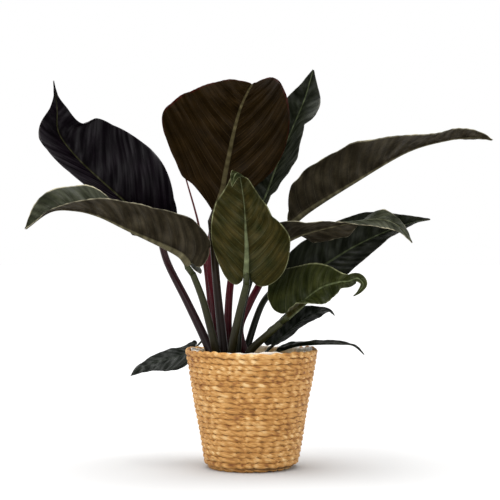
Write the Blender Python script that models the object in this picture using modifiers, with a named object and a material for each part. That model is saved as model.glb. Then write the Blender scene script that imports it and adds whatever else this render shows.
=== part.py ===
"""Philodendron with dark leaves in a nursery pot, standing in a coiled fibre basket.

Frame: +Z up, origin in the middle of the basket's flat bottom, metres.
The plant is looked at along +Y, with +X to the right.
All lengths below are in millimetres and become metres through MM.
"""
import math

import bmesh
import bpy
import numpy as np
from mathutils import Matrix, Vector

MM = 0.001
CLEAR = 0.3                     # gap kept between pieces that touch

# Basket: coiled rope rows on a tapered round wall
BASKET_HEIGHT = 200.0
BASKET_TOP_R = 114.0
BASKET_FOOT_R = 79.5
BASKET_CORNER_R = 8.0
BASKET_WALL = 8.0
BASKET_FLOOR = 7.0
ROPE_ROWS = 21
ROPE_RELIEF = 2.2               # depth of the groove between two rows
ROUND_STEPS = 36

# Liner, nursery pot and soil
LINER_WALL = 0.7
LINER_BELOW_RIM = 1.5
POT_HEIGHT = 176.0
POT_WALL = 1.5
POT_TOP_R = 96.0
POT_FOOT_R = 66.0
POT_LIP = 3.0                   # how far the lip stands out
POT_LIP_HIGH = 8.0
SOIL_TOP = 172.0
STALK_FOOT = 158.0              # height of the stalks' lower ends, in the soil's holes
HOLE_CLEAR = 0.7
HOLE_SIDES = 14
HOLE_LENGTH = 26.0              # a stalk's hole, from its floor to above the soil
STEM_AT = (-27.0, 9.0)
STEM_R = 10.5
STEM_LOW = 140.0
STEM_TOP = 186.0
STEM_SCARS = 4
STEM_SCAR_DEEP = 1.2

# Leaf blades
BLADE = 0.9                     # thickness
STALK_SIDES = 2                 # bevel resolution of a stalk, 8 sides
STALK_POINTS = 12
STALK_GAP = 0.5                 # between a stalk's top and its blade's midrib
KNEE = 3.0                      # straight length under the blade, in stalk radii
CURVE_STEPS = 24                # places worked out between two hand-set points of a curve
FRAMES = 160                    # places along a midrib where its frame is worked out

# One half of a leaf laid flat, from the notch at the stalk to the tip. Each row is a side vein:
# where it leaves the midrib, then where it meets the edge, as shares of the midrib's length,
# and how far out that is, as a share of the half's width. A heart has lobes that reach back past
# the stalk, and a wedge runs straight down into it.
HEART = [
    (0.000, 0.00, 0.05),
    (0.011, -0.05, 0.13),
    (0.021, -0.09, 0.31),
    (0.031, -0.07, 0.56),
    (0.042, 0.00, 0.79),
    (0.060, 0.12, 0.94),
    (0.100, 0.28, 1.00),
    (0.185, 0.45, 0.95),
    (0.335, 0.62, 0.79),
    (0.530, 0.78, 0.54),
    (0.740, 0.90, 0.27),
    (0.910, 0.97, 0.09),
    (0.995, 1.00, 0.02),
]
WEDGE = [
    (0.000, 0.00, 0.05),
    (0.010, 0.03, 0.14),
    (0.020, 0.07, 0.28),
    (0.032, 0.12, 0.46),
    (0.050, 0.19, 0.66),
    (0.080, 0.28, 0.84),
    (0.130, 0.40, 0.97),
    (0.215, 0.53, 1.00),
    (0.350, 0.67, 0.88),
    (0.530, 0.81, 0.61),
    (0.730, 0.92, 0.30),
    (0.900, 0.975, 0.10),
    (0.995, 1.00, 0.02),
]
NOTCH_ROWS = 2                  # rows of the notch that the stalk stands in
NOTCH_CLEAR = 1.2
TIP_HALF = 0.8                  # half width at the very tip
LOBE, LOBE_OUT = 0.09, 0.31     # how far back a full lobe reaches, and how far out that is
RIDGE_HALF = (0.9, 0.75)        # the midrib's ridge: half width at the stalk, in stalk radii,
RIDGE_DEPTH = (1.5, 0.85)       # and depth, each with the share of it lost by the tip
RIDGE_SHARE = 0.6               # most of a half that the ridge may take, near the tip
SIDE_PHASE = 0.37               # how far the right edge's waves run ahead of the left's
VEIN_BEND = 1.5                 # side veins leave the midrib steeply and bend towards the tip
HALF_COLUMNS = (0, 0.38, 0.72, 1)  # columns of a half, from the midrib's ridge to the edge

# Each leaf: its outline, its stalk from the soil up, its midrib from the stalk to the tip, the widths of its
# left and right halves, the way its upper side faces (from stalk to tip), how many degrees the
# two halves are lifted from flat (left, right, from stalk to tip), how many degrees more each
# half bends over its width, its edge's waves (height, number, where they start), how far its two
# lobes reach back past the stalk (1 is full), and its tail: where along the length the blade
# starts and stops narrowing, and the share of its width that is left. Left and right are as seen
# on the upper side with the tip ahead.
LEAVES = [
    dict(name="upper_left", outline=HEART, colour="#231A24",
         stalk_colour="#2E1822", radii=(8.5, 6.0),
         stalk=[(-66, 12, 176), (-72, 17, 200), (-110, 40, 277), (-146, 68, 345)],
         midrib=[(-175, 92, 407), (-222, 98, 451), (-266, 104, 490), (-311, 106, 533),
                 (-342, 104, 576), (-344, 98, 620), (-349, 90, 667)],
         half=(86, 101), face=[(0.1, -0.97, 0.1), (0.15, -0.97, 0.15), (0, -1, 0)],
         fold=[(64, 45), (66, 5), (56, 5), (20, 20)], bend=(0, 0), wave=(3, 3, 0.1),
         lobe=(0.7, 1), tail=(0.72, 0.92, 0.2)),
    dict(name="lower_left", outline=HEART, colour="#3D372E",
         stalk_colour="#3C3B22", radii=(8.0, 5.5),
         stalk=[(-55, -14, 176), (-60, -18, 201), (-80, -26, 279)],
         midrib=[(-104, -35, 343), (-118, -39, 361), (-150, -48, 379), (-201, -60, 403),
                 (-250, -70, 426), (-291, -76, 435), (-331, -80, 432), (-372, -82, 402)],
         half=(64, 80), face=[(0.3, 0.25, 0.9), (0.2, 0.2, 1), (-0.2, 0, 1)],
         fold=[(84, 35), (32, 5), (5, 60), (-10, 70)], bend=(10, 0), wave=(3, 3, 0.3),
         lobe=(0.6, 1), tail=(0.6, 0.9, 1)),
    dict(name="tall_centre", outline=WEDGE, colour="#2A1E15",
         stalk_colour="#3A1A18", radii=(8.5, 6.0),
         stalk=[(-47, 3, 176), (-48, 4, 206), (-58, 6, 300), (-64, 8, 375)],
         midrib=[(-62, 9, 434), (-50, 9, 468), (-45, 6, 495), (-38, -6, 531), (-29, -28, 573),
                 (-19, -60, 605), (-7, -100, 626), (1, -145, 633)],
         half=(104, 122), face=[(0, 1, 0.1), (0, 0.95, 0.3), (0, 0.6, 0.8), (0, 0.15, 1)],
         fold=[(5, 15), (6, 15), (8, 13), (13, 7), (17, 0), (23, -5), (27, -4), (31, 7), (36, 27)],
         bend=(10, 10), wave=(3, 2, 0.0), lobe=(0.2, 1), tail=(0.6, 0.9, 1)),
    dict(name="tall_right", outline=HEART, colour="#2D322C",
         stalk_colour="#4A0C1A", radii=(8.0, 5.5),
         stalk=[(-36, 28, 176), (-40, 31, 248), (-32, 46, 333), (-8, 78, 400)],
         midrib=[(15, 100, 441), (27, 106, 466), (48, 112, 524), (75, 114, 588), (95, 112, 637),
                 (110, 108, 689)],
         half=(56, 70), face=[(-0.5, -0.8, 0.3), (-0.3, -0.9, 0.3), (-0.2, -0.95, 0.2)],
         fold=[(15, 50), (15, 44), (15, 40), (15, 42), (15, 48), (15, 52), (12, 24), (10, -8),
             (10, -10)], bend=(0, 0), wave=(6, 3, 0.6),
         lobe=(0.6, 0.6), tail=(0.78, 0.92, 0.8)),
    dict(name="front_centre", outline=HEART, colour="#383722",
         stalk_colour="#40452A", radii=(8.5, 5.5),
         stalk=[(-34, -36, 176), (-31, -40, 209), (-20, -52, 262)],
         midrib=[(-8, -62, 327), (-7, -66, 360), (-8, -70, 394), (-9, -76, 434),
                 (-13, -86, 466), (-19, -98, 492), (-27, -108, 490), (-32, -112, 470)],
         half=(72, 62), face=[(0, 1, 0.1), (0, 1, 0.1), (0.1, 0.95, 0.2), (-0.2, -0.5, 0.9)],
         fold=[(0, 30), (-3, 15), (-48, 5), (-50, 15), (-30, 30)], bend=(0, 10), wave=(3, 2, 0.2),
         lobe=(1, 1), tail=(0.6, 0.9, 0.4)),
    dict(name="long_right", outline=HEART, colour="#3A342B",
         stalk_colour="#4C0D1B", radii=(8.0, 5.5),
         stalk=[(-7, 10, 178), (-20, 12, 231), (-4, 16, 274), (20, 24, 320), (46, 35, 377)],
         midrib=[(63, 42, 411), (100, 48, 441), (172, 60, 486), (271, 76, 542), (346, 86, 563),
                 (396, 90, 567), (426, 92, 562)],
         half=(70, 82), face=[(-0.5, 0.35, 0.8), (-0.4, 0.3, 0.9), (-0.1, 0.3, 1)],
         fold=[(55, 60), (45, 24), (30, -2), (10, 14)], bend=(0, 0), wave=(5, 3, 0.25),
         lobe=(-0.8, -0.6), tail=(0.6, 0.9, 1)),
    dict(name="front_right", outline=HEART, colour="#3B3F20",
         stalk_colour="#3F4424", radii=(8.0, 5.5),
         stalk=[(-8, -26, 176), (0, -28, 200), (30, -40, 229)],
         midrib=[(59, -50, 259), (79, -58, 276), (112, -72, 304), (141, -88, 315), (158, -100, 317),
             (172, -106, 322), (181, -110, 313), (174, -113, 301), (165, -112, 293)],
         half=(96, 70), face=[(-0.4, -0.75, 0.5), (-0.25, -0.65, 0.7), (0, -0.7, 0.6), (0.5, -0.7, 0)],
         fold=[(5, 62), (5, 48), (15, -10), (20, -20), (10, 10)], bend=(0, 0), wave=(3, 3, 0.5),
         lobe=(1.0, -0.6), tail=(0.12, 0.62, 0.2)),
    dict(name="right_near", outline=HEART, colour="#33291F",
         stalk_colour="#1E2216", radii=(7.5, 5.0),
         stalk=[(-25, -12, 176), (-19, -13, 249), (-2, -16, 317), (15, -20, 350)],
         midrib=[(38, -22, 376), (82, -26, 397), (132, -30, 410), (182, -34, 418),
                 (224, -36, 418), (252, -38, 403), (269, -38, 380)],
         half=(58, 60), face=[(-0.3, 0.1, 0.95), (-0.1, 0, 1), (0, -0.2, 1)],
         fold=[(50, 38), (-20, 8), (-30, 0), (25, -15), (10, -15)], bend=(0, 0), wave=(2, 2, 0.0),
         lobe=(0.7, 0.7), tail=(0.6, 0.9, 1)),
    dict(name="right_far", outline=HEART, colour="#242A20",
         stalk_colour="#262B1A", radii=(7.0, 5.0),
         stalk=[(-13, 29, 176), (-6, 30, 204), (18, 38, 273), (46, 52, 304)],
         midrib=[(89, 66, 325), (131, 70, 344), (170, 72, 368), (207, 74, 387), (244, 76, 403),
                 (286, 76, 417), (314, 76, 422)],
         half=(60, 52), face=[(-0.3, -0.85, 0.45), (-0.3, -0.85, 0.45), (-0.2, -0.8, 0.6)],
         fold=[(10, 10), (10, 20), (10, 40), (10, 40)], bend=(0, 0), wave=(3, 3, 0.2),
         lobe=(1, 1), tail=(0.6, 0.9, 0.7)),
    dict(name="low_right", outline=HEART, colour="#18231A",
         stalk_colour="#262B1A", radii=(4.0, 2.5),
         stalk=[(18, 20, 176), (22, 21, 187)],
         midrib=[(35, 28, 204), (58, 34, 222), (84, 42, 244), (110, 50, 257), (133, 54, 263),
                 (145, 58, 254)],
         half=(35, 34), face=[(-0.3, -0.5, 0.8), (-0.3, -0.5, 0.8)],
         fold=[(15, 30), (15, 5)], bend=(0, 0), wave=(2, 3, 0.2), lobe=(0.6, 0.6),
         tail=(0.6, 0.9, 0.6)),
    dict(name="low_left", outline=HEART, colour="#162118",
         stalk_colour="#262018", radii=(3.0, 1.6),
         stalk=[(-58, 64, 176), (-72, 68, 202), (-83, 78, 210)],
         midrib=[(-100, 97, 197), (-119, 100, 184), (-143, 100, 176), (-170, 96, 169),
                 (-195, 88, 160), (-212, 80, 147)],
         half=(40, 30), face=[(0, -0.5, 0.85), (0, -0.5, 0.85)],
         fold=[(5, -5), (5, -5)], bend=(0, 0), wave=(2, 3, 0.2), lobe=(0.6, 0.6),
         tail=(0.6, 0.9, 0.8)),
    dict(name="rim_right", outline=HEART, colour="#162118",
         stalk_colour="#262B1A", radii=(3.5, 2.2),
         stalk=[(20, -18, 176), (30, -20, 188)],
         midrib=[(50, -25, 201), (76, -23, 208), (113, -16, 210), (150, -8, 209), (173, -4, 206),
                 (192, 0, 190)],
         half=(24, 26), face=[(-0.2, 0, 1), (0, 0, 1)],
         fold=[(12, 12), (12, 12)], bend=(0, 0), wave=(1.5, 3, 0.2), lobe=(0.6, 0.6),
         tail=(0.6, 0.9, 0.8)),
    dict(name="back", outline=HEART, colour="#2D322C",
         stalk_colour="#4A0C1A", radii=(8.0, 5.5),
         stalk=[(-51, 48, 176), (-62, 56, 247), (-75, 80, 333), (-70, 105, 400)],
         midrib=[(-58, 132, 475), (-54, 152, 515), (-50, 186, 548), (-46, 226, 558),
                 (-42, 262, 545), (-39, 288, 519)],
         half=(50, 50), face=[(0, -0.95, 0.3), (0, -0.3, 0.95), (0, 0.4, 0.9)],
         fold=[(15, 15), (15, 15), (10, 10)], bend=(0, 0), wave=(3, 3, 0.2),
         lobe=(1, 1), tail=(0.6, 0.9, 1)),
]

# The rolled new leaf, from the soil to its tip
SPEAR = [(-66, 36, 176), (-74, 37, 282), (-83, 38, 359), (-92, 40, 416), (-114, 44, 494)]
SPEAR_RADII = (4.0, 1.4)


def clear_scene():
    for thing in list(bpy.data.objects):
        bpy.data.objects.remove(thing)


def make_collection(name):
    group = bpy.data.collections.new(name)
    bpy.context.scene.collection.children.link(group)
    return group


def linear(hex_colour):
    """An sRGB hex colour as linear red, green, blue and alpha."""
    parts = [int(hex_colour[i:i + 2], 16) / 255 for i in (1, 3, 5)]
    return [p / 12.92 if p <= 0.04045 else ((p + 0.055) / 1.055) ** 2.4 for p in parts] + [1.0]


def finish(thing, group, name, colour, roughness):
    """Names an object, puts it in its collection and gives it a material of its own."""
    material = bpy.data.materials.new(name)
    material.use_nodes = True
    shader = material.node_tree.nodes["Principled BSDF"]
    shader.inputs["Base Color"].default_value = linear(colour)
    shader.inputs["Roughness"].default_value = roughness
    shader.inputs["Metallic"].default_value = 0.0
    thing.name = name
    thing.data.materials.clear()
    thing.data.materials.append(material)
    group.objects.link(thing)


def shade_round(mesh, degrees=40):
    mesh.shade_smooth()
    mesh.set_sharp_from_angle(angle=math.radians(degrees))


def turned(name, profile, group, colour, roughness, steps=ROUND_STEPS):
    """A body turned about Z from a profile of (radius, height) that runs down its outer side."""
    mesh = bpy.data.meshes.new(name)
    points = [(r * MM, 0, z * MM) for r, z in profile]
    mesh.from_pydata(points, [(i, i + 1) for i in range(len(points) - 1)], [])
    thing = bpy.data.objects.new(name, mesh)
    finish(thing, group, name, colour, roughness)
    screw = thing.modifiers.new("turn", "SCREW")
    screw.steps = steps
    screw.render_steps = steps
    screw.use_merge_vertices = True
    screw.merge_threshold = 0.00001
    return thing


def smooth_line(points, count):
    """Evenly spaced places, in metres, on a smooth curve through hand-set points."""
    given = np.array(points, dtype=float) * MM
    ends = np.vstack([2 * given[0] - given[1], given, 2 * given[-1] - given[-2]])
    steps = np.linspace(0, 1, CURVE_STEPS, endpoint=False)[:, None]
    fine = []
    for a, b, c, d in zip(ends, ends[1:], ends[2:], ends[3:]):
        fine.append(b + 0.5 * steps * (c - a)
                    + steps ** 2 * (a - 2.5 * b + 2 * c - 0.5 * d)
                    + steps ** 3 * (1.5 * (b - c) + 0.5 * (d - a)))
    fine = np.vstack(fine + [given[-1:]])
    along = np.concatenate([[0], np.cumsum(np.linalg.norm(np.diff(fine, axis=0), axis=1))])
    return blend_rows(fine, along / along[-1], np.linspace(0, 1, count))


def blend_rows(rows, at, wanted):
    """Rows of numbers, known at some places, read at other places."""
    rows = np.array(rows, dtype=float)
    return np.column_stack([np.interp(wanted, at, column) for column in rows.T])


def unit(vectors):
    return vectors / np.linalg.norm(vectors, axis=-1, keepdims=True)


def midrib_frame(leaf):
    """Along the midrib: place, way ahead, way up from the upper side, way to the right."""
    place = smooth_line(leaf["midrib"], FRAMES)
    ahead = unit(np.gradient(place, axis=0))
    share = np.linspace(0, 1, FRAMES)
    face = blend_rows(leaf["face"], np.linspace(0, 1, len(leaf["face"])), share)
    up = unit(face - ahead * np.sum(face * ahead, axis=1, keepdims=True))
    return place, ahead, up, np.cross(ahead, up)


def ridge_size(leaf, share):
    """Half width and depth of the midrib's ridge on the underside, in millimetres."""
    foot = leaf["radii"][1]
    half, half_lost = RIDGE_HALF
    depth, depth_lost = RIDGE_DEPTH
    return half * foot * (1 - half_lost * share), depth * foot * (1 - depth_lost * share)


def blade_surface(leaf):
    """The middle surface of a blade: a grid of rows (veins) by columns, left edge to right edge."""
    place, ahead, up, right = midrib_frame(leaf)
    length = np.sum(np.linalg.norm(np.diff(place, axis=0), axis=1))
    share = np.linspace(0, 1, FRAMES)
    folds = blend_rows(leaf["fold"], np.linspace(0, 1, len(leaf["fold"])), share)
    height, waves, phase = leaf["wave"]
    grid = []
    for index, (start, meet, out) in enumerate(leaf["outline"]):
        along = index / (len(leaf["outline"]) - 1)
        out *= np.interp(meet, leaf["tail"][:2], (1, leaf["tail"][2]))
        notch = (leaf["radii"][1] + NOTCH_CLEAR * (index + 1)) * (index < NOTCH_ROWS)
        sides = []
        for side, (width, lobe) in enumerate(zip(leaf["half"], leaf["lobe"])):
            reach = max(width * out, notch, TIP_HALF) * MM
            edge = meet + (1 - lobe) * LOBE * min(out / LOBE_OUT, 1) * (1 - meet) ** 2
            ridge = min(ridge_size(leaf, start)[0] * MM / reach, RIDGE_SHARE)
            line = []
            for beyond in HALF_COLUMNS:
                across = ridge + (1 - ridge) * beyond
                u = start + (edge - start) * beyond ** VEIN_BEND
                here = [np.interp(u, share, field) for field in
                        (*place.T, *ahead.T, *up.T, *right.T, folds[:, side])]
                spot, fore, top, out_way = (np.array(here[i:i + 3]) for i in (0, 3, 6, 9))
                spot = spot + fore * min(u, 0) * length
                lift = math.radians(here[12] + 0.5 * leaf["bend"][side] * across * out)
                way = out_way * (1 if side else -1) * math.cos(lift) + top * math.sin(lift)
                ripple = height * MM * across ** 2 * math.sin(math.pi * along)
                ripple *= math.sin(2 * math.pi * (waves * along + phase + SIDE_PHASE * side))
                line.append(spot + way * reach * across + top * ripple)
            sides.append(line)
        middle = np.array([np.interp(start, share, column) for column in place.T])
        grid.append(sides[0][::-1] + [middle] + sides[1])
    return np.array(grid)


def blade(leaf, group):
    """A leaf blade: one closed sheet with a ridge under its midrib, split alike on both faces."""
    grid = blade_surface(leaf)
    rows, columns = grid.shape[:2]
    centre = columns // 2
    normal = unit(np.cross(np.gradient(grid, axis=1), np.gradient(grid, axis=0)))
    upper = grid + normal * BLADE * MM / 2
    lower = grid - normal * BLADE * MM / 2
    for row, (start, _, _) in enumerate(leaf["outline"]):
        lower[row, centre] -= normal[row, centre] * ridge_size(leaf, start)[1] * MM
    points = np.concatenate([upper.reshape(-1, 3), lower.reshape(-1, 3)])
    count = rows * columns
    faces = []
    for r in range(rows - 1):
        for c in range(columns - 1):
            a = r * columns + c
            b, d, e = a + 1, a + columns, a + columns + 1
            split = [(a, d, e), (a, e, b)] if c < centre else [(a, d, b), (b, d, e)]
            faces += split
            faces += [tuple(count + i for i in reversed(face)) for face in split]
    edge = list(range(columns))
    edge += [r * columns + columns - 1 for r in range(1, rows)]
    edge += [(rows - 1) * columns + c for c in range(columns - 2, -1, -1)]
    edge += [r * columns for r in range(rows - 2, 0, -1)]
    for a, b in zip(edge, edge[1:] + edge[:1]):
        faces += [(a, b, b + count), (a, b + count, a + count)]
    name = "blade_" + leaf["name"]
    mesh = bpy.data.meshes.new(name)
    mesh.from_pydata(points.tolist(), [], faces)
    sheet = bmesh.new()
    sheet.from_mesh(mesh)
    bmesh.ops.recalc_face_normals(sheet, faces=sheet.faces)
    sheet.to_mesh(mesh)
    sheet.free()
    shade_round(mesh, 60)
    finish(bpy.data.objects.new(name, mesh), group, name, leaf["colour"], 0.35)


def tube(name, points, radii, group, colour, roughness=0.4):
    """A round stalk along places in metres, its radius running from foot to top."""
    curve = bpy.data.curves.new(name, "CURVE")
    curve.dimensions = "3D"
    curve.bevel_depth = MM
    curve.bevel_resolution = STALK_SIDES
    curve.use_fill_caps = True
    spline = curve.splines.new("POLY")
    spline.points.add(len(points) - 1)
    for index, (point, place) in enumerate(zip(spline.points, points)):
        share = index / (len(points) - 1)
        point.co = (*place, 1)
        point.radius = radii[0] + (radii[1] - radii[0]) * share
    finish(bpy.data.objects.new(name, curve), group, name, colour, roughness)


def stalk_line(leaf):
    """A stalk's centre line: up out of the soil, and at the top straight into its midrib."""
    place, ahead, up, _ = midrib_frame(leaf)
    top_r = leaf["radii"][1]
    end = place[0] / MM - ahead[0] * STALK_GAP - up[0] * (top_r - BLADE / 2)
    knee = end - ahead[0] * KNEE * top_r
    below_knee = knee - ahead[0] * 0.5
    return np.vstack([foot_line(leaf["stalk"] + [below_knee, knee], STALK_POINTS - 1), end * MM])


def foot_line(points, count):
    """A smooth line that starts straight below its first point, at the stalks' feet."""
    foot_x, foot_y, _ = points[0]
    return smooth_line([(foot_x, foot_y, STALK_FOOT)] + points, count)


def basket(group):
    """Rows of rope, each a ridge on the wall, over a flat floor."""
    row = (BASKET_HEIGHT - BASKET_CORNER_R) / ROPE_ROWS

    def wall_r(z):
        return BASKET_FOOT_R + (BASKET_TOP_R - BASKET_FOOT_R) * z / BASKET_HEIGHT

    inner = [(0, BASKET_FLOOR), (wall_r(BASKET_FLOOR) - BASKET_WALL, BASKET_FLOOR)]
    inner += [(wall_r(z) - BASKET_WALL, z) for z in (70, 130, BASKET_HEIGHT - 3)]
    rim = [(wall_r(BASKET_HEIGHT) - BASKET_WALL / 2, BASKET_HEIGHT)]
    outer = []
    for index in range(ROPE_ROWS):
        z = BASKET_HEIGHT - row * (index + 0.5)
        outer.append((wall_r(z), z))
        z = BASKET_HEIGHT - row * (index + 1)
        outer.append((wall_r(z) - ROPE_RELIEF, z))
    foot = [(wall_r(BASKET_CORNER_R / 2) - 1.5, BASKET_CORNER_R / 2),
            (wall_r(0) - BASKET_CORNER_R, 0), (0, 0)]
    turned("basket", inner + rim + outer + foot, group, "#C99A5E", 0.85)


def liner(group):
    """Thin plastic sheet on the basket's floor and inner wall."""
    low = BASKET_FLOOR + CLEAR
    high = BASKET_HEIGHT - LINER_BELOW_RIM
    taper = (BASKET_TOP_R - BASKET_FOOT_R) / BASKET_HEIGHT
    off = BASKET_WALL + CLEAR + 0.2

    def outer_r(z):
        return BASKET_FOOT_R + taper * z - off

    profile = [(0, low + LINER_WALL), (outer_r(low) - LINER_WALL, low + LINER_WALL),
               (outer_r(high - 4) - LINER_WALL, high - 4), (outer_r(high - 4) - LINER_WALL, high),
               (outer_r(high - 4), high), (outer_r(high - 4), high - 4), (outer_r(low), low), (0, low)]
    turned("liner", profile, group, "#D9D4C8", 0.3)


def nursery_pot(group):
    low = BASKET_FLOOR + LINER_WALL + 2 * CLEAR
    high = low + POT_HEIGHT
    lip_low = high - POT_LIP_HIGH
    profile = [(0, low + POT_WALL), (POT_FOOT_R - POT_WALL, low + POT_WALL),
               (POT_TOP_R - POT_WALL, high), (POT_TOP_R + POT_LIP, high),
               (POT_TOP_R + POT_LIP, lip_low), (POT_TOP_R - 0.5, lip_low),
               (POT_FOOT_R, low), (0, low)]
    turned("nursery_pot", profile, group, "#26211E", 0.5)


def soil(group, cutters):
    """A low mound that fills the pot, with a plain round hole for each stalk and the stem."""
    low = BASKET_FLOOR + LINER_WALL + POT_WALL + 3 * CLEAR
    pot_low = BASKET_FLOOR + LINER_WALL + 2 * CLEAR

    def fill_r(z):
        share = (z - pot_low - POT_WALL) / (POT_HEIGHT - POT_WALL)
        return POT_FOOT_R - POT_WALL + (POT_TOP_R - POT_FOOT_R) * share - CLEAR - 0.1

    profile = [(0, SOIL_TOP), (60, SOIL_TOP - 1), (fill_r(SOIL_TOP - 6), SOIL_TOP - 6),
               (fill_r(low), low), (0, low)]
    mound = turned("soil", profile, group, "#2A1F18", 0.95)
    stem_line = np.array([(*STEM_AT, STEM_LOW), (*STEM_AT, STEM_TOP)]) * MM
    feet = [(stalk_line(leaf), leaf["radii"][0], HOLE_LENGTH) for leaf in LEAVES]
    feet.append((foot_line(SPEAR, STALK_POINTS), SPEAR_RADII[0], HOLE_LENGTH))
    feet.append((stem_line, STEM_R, HOLE_LENGTH + STALK_FOOT - STEM_LOW))
    for index, (line, radius, height) in enumerate(feet):
        foot, above = line[:2]
        lean = Vector(above - foot).normalized()
        middle = Vector(foot) + lean * (height / 2 - CLEAR) * MM
        mesh = bpy.data.meshes.new("hole")
        shape = bmesh.new()
        wide = (radius + HOLE_CLEAR) * MM
        turn = lean.to_track_quat("Z", "Y").to_matrix().to_4x4()
        bmesh.ops.create_cone(shape, cap_ends=True, segments=HOLE_SIDES, radius1=wide, radius2=wide,
                              depth=height * MM, matrix=Matrix.Translation(middle) @ turn)
        shape.to_mesh(mesh)
        shape.free()
        cutter = bpy.data.objects.new(f"hole_{index}", mesh)
        cutter.hide_render = True
        cutter.display_type = "WIRE"
        cutters.objects.link(cutter)
    cut = mound.modifiers.new("holes", "BOOLEAN")
    cut.operation = "DIFFERENCE"
    cut.operand_type = "COLLECTION"
    cut.collection = cutters
    cut.solver = "EXACT"


def stem(group):
    """The short stem, ringed by old leaf scars, with a blunt top."""
    shoulder = STEM_TOP - 6
    waist = STEM_R - STEM_SCAR_DEEP
    body = []
    for index in range(STEM_SCARS):
        z = shoulder - index * (shoulder - STEM_LOW) / STEM_SCARS
        body += [(STEM_R, z), (waist, z - 4)]
    top = [(0, STEM_TOP), (STEM_R * 0.6, STEM_TOP - 2)]
    profile = top + body + [(waist, STEM_LOW), (0, STEM_LOW)]
    thing = turned("stem", profile, group, "#4A3B2A", 0.8, steps=14)
    thing.location = (STEM_AT[0] * MM, STEM_AT[1] * MM, 0)


def build():
    clear_scene()
    group = make_collection("philodendron_in_basket")
    cutters = make_collection("cutters")
    basket(group)
    liner(group)
    nursery_pot(group)
    soil(group, cutters)
    stem(group)
    for leaf in LEAVES:
        tube("petiole_" + leaf["name"], stalk_line(leaf), leaf["radii"], group, leaf["stalk_colour"])
        blade(leaf, group)
    tube("new_leaf", foot_line(SPEAR, STALK_POINTS), SPEAR_RADII, group, "#3A1418")


build()
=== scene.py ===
import math

import bmesh
import bpy
import numpy as np
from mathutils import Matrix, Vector, noise


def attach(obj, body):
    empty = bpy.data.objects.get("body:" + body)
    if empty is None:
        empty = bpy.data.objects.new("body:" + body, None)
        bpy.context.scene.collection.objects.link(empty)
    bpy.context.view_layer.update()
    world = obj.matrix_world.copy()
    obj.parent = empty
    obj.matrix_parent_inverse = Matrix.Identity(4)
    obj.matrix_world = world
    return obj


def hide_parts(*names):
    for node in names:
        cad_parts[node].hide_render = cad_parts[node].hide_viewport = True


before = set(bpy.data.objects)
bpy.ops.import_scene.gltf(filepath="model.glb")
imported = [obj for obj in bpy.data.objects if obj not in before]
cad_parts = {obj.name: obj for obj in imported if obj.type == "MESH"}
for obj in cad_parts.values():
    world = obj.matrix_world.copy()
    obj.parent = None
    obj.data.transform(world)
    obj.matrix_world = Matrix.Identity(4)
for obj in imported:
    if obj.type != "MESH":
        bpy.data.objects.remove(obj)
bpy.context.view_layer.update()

MM = 0.001

# Basket wall.
# One long rope of twisted dry leaf strips, coiled from the rim down and then in under the
# bottom. Each turn is sewn to the one above it, so the rows sit tight on each other.
BASKET_HEIGHT = 200.0
BASKET_TOP_R = 114.0
BASKET_FOOT_R = 79.5
ROPE_R = 4.85           # half the rope's thickness
ROPE_ROW = 9.14         # height of a turn
WALL_ROWS = 21
ROPE_STEP = 6.0         # between points of the rope's path
STEP_DOWN = 0.8         # share of a turn after which it drops to the next row, at the back


def node(tree, kind, inputs=None, **settings):
    """Adds a node with its settings; an input is a value, or another node's output."""
    made = tree.nodes.new(kind)
    for key, value in settings.items():
        setattr(made, key, value)
    for key, value in (inputs or {}).items():
        if isinstance(value, bpy.types.NodeSocket):
            tree.links.new(value, made.inputs[key])
        else:
            made.inputs[key].default_value = value
    return made


def linear(hex_colour):
    """An sRGB hex colour as linear red, green, blue and alpha."""
    parts = [int(hex_colour[i:i + 2], 16) / 255 for i in (1, 3, 5)]
    return [p / 12.92 if p <= 0.04045 else ((p + 0.055) / 1.055) ** 2.4 for p in parts] + [1.0]


def new_material(name):
    material = bpy.data.materials.new(name)
    material.use_nodes = True
    return material, material.node_tree, material.node_tree.nodes["Principled BSDF"]


def ramp(tree, factor, *stops):
    """A colour ramp through (place, hex colour) stops."""
    made = node(tree, "ShaderNodeValToRGB", {0: factor})
    band = made.color_ramp
    while len(band.elements) < len(stops):
        band.elements.new(0.5)
    for element, (place, colour) in zip(band.elements, stops):
        element.position = place
        element.color = linear(colour)
    return made.outputs[0]


def place_piece(name, mesh, material_slot, *nodes):
    """Shows a finished mesh as a piece of the object, for the CAD nodes it stands for."""
    piece = bpy.data.objects.new(name, mesh)
    bpy.context.scene.collection.objects.link(piece)
    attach(piece, "root")
    if nodes:
        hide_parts(*nodes)
    return piece


def wall_r(z):
    return BASKET_FOOT_R + (BASKET_TOP_R - BASKET_FOOT_R) * z / BASKET_HEIGHT


def rope_path():
    """The rope's centre line in metres: down the wall, round the corner, in to the middle."""
    places = []
    turn = 0.0
    spiral_from = wall_r(0) - 6.5
    while True:
        row, part = divmod(turn, 1)
        drop = max(0, (part - STEP_DOWN) / (1 - STEP_DOWN))
        down = row + drop * drop * (3 - 2 * drop)
        angle = math.pi / 2 + 2 * math.pi * turn
        if turn < WALL_ROWS:
            z = BASKET_HEIGHT - ROPE_R - down * ROPE_ROW
            z = max(z, ROPE_R)
            high = (z / BASKET_HEIGHT) ** 2
            z += high * (1.1 * math.sin(2 * angle + 0.7) + 0.8 * math.sin(5 * angle + row))
            r = wall_r(z) - ROPE_R + 0.5 * math.sin(3 * angle + 0.5 * row)
            r -= max(0, 13 - z) * 0.45
        else:
            z = ROPE_R
            r = spiral_from - (turn - WALL_ROWS) * 2 * ROPE_R * 0.96
        if r < 3:
            return places
        places.append((r * math.cos(angle) * MM, r * math.sin(angle) * MM, z * MM))
        turn += ROPE_STEP / (2 * math.pi * max(r, 8))


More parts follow.
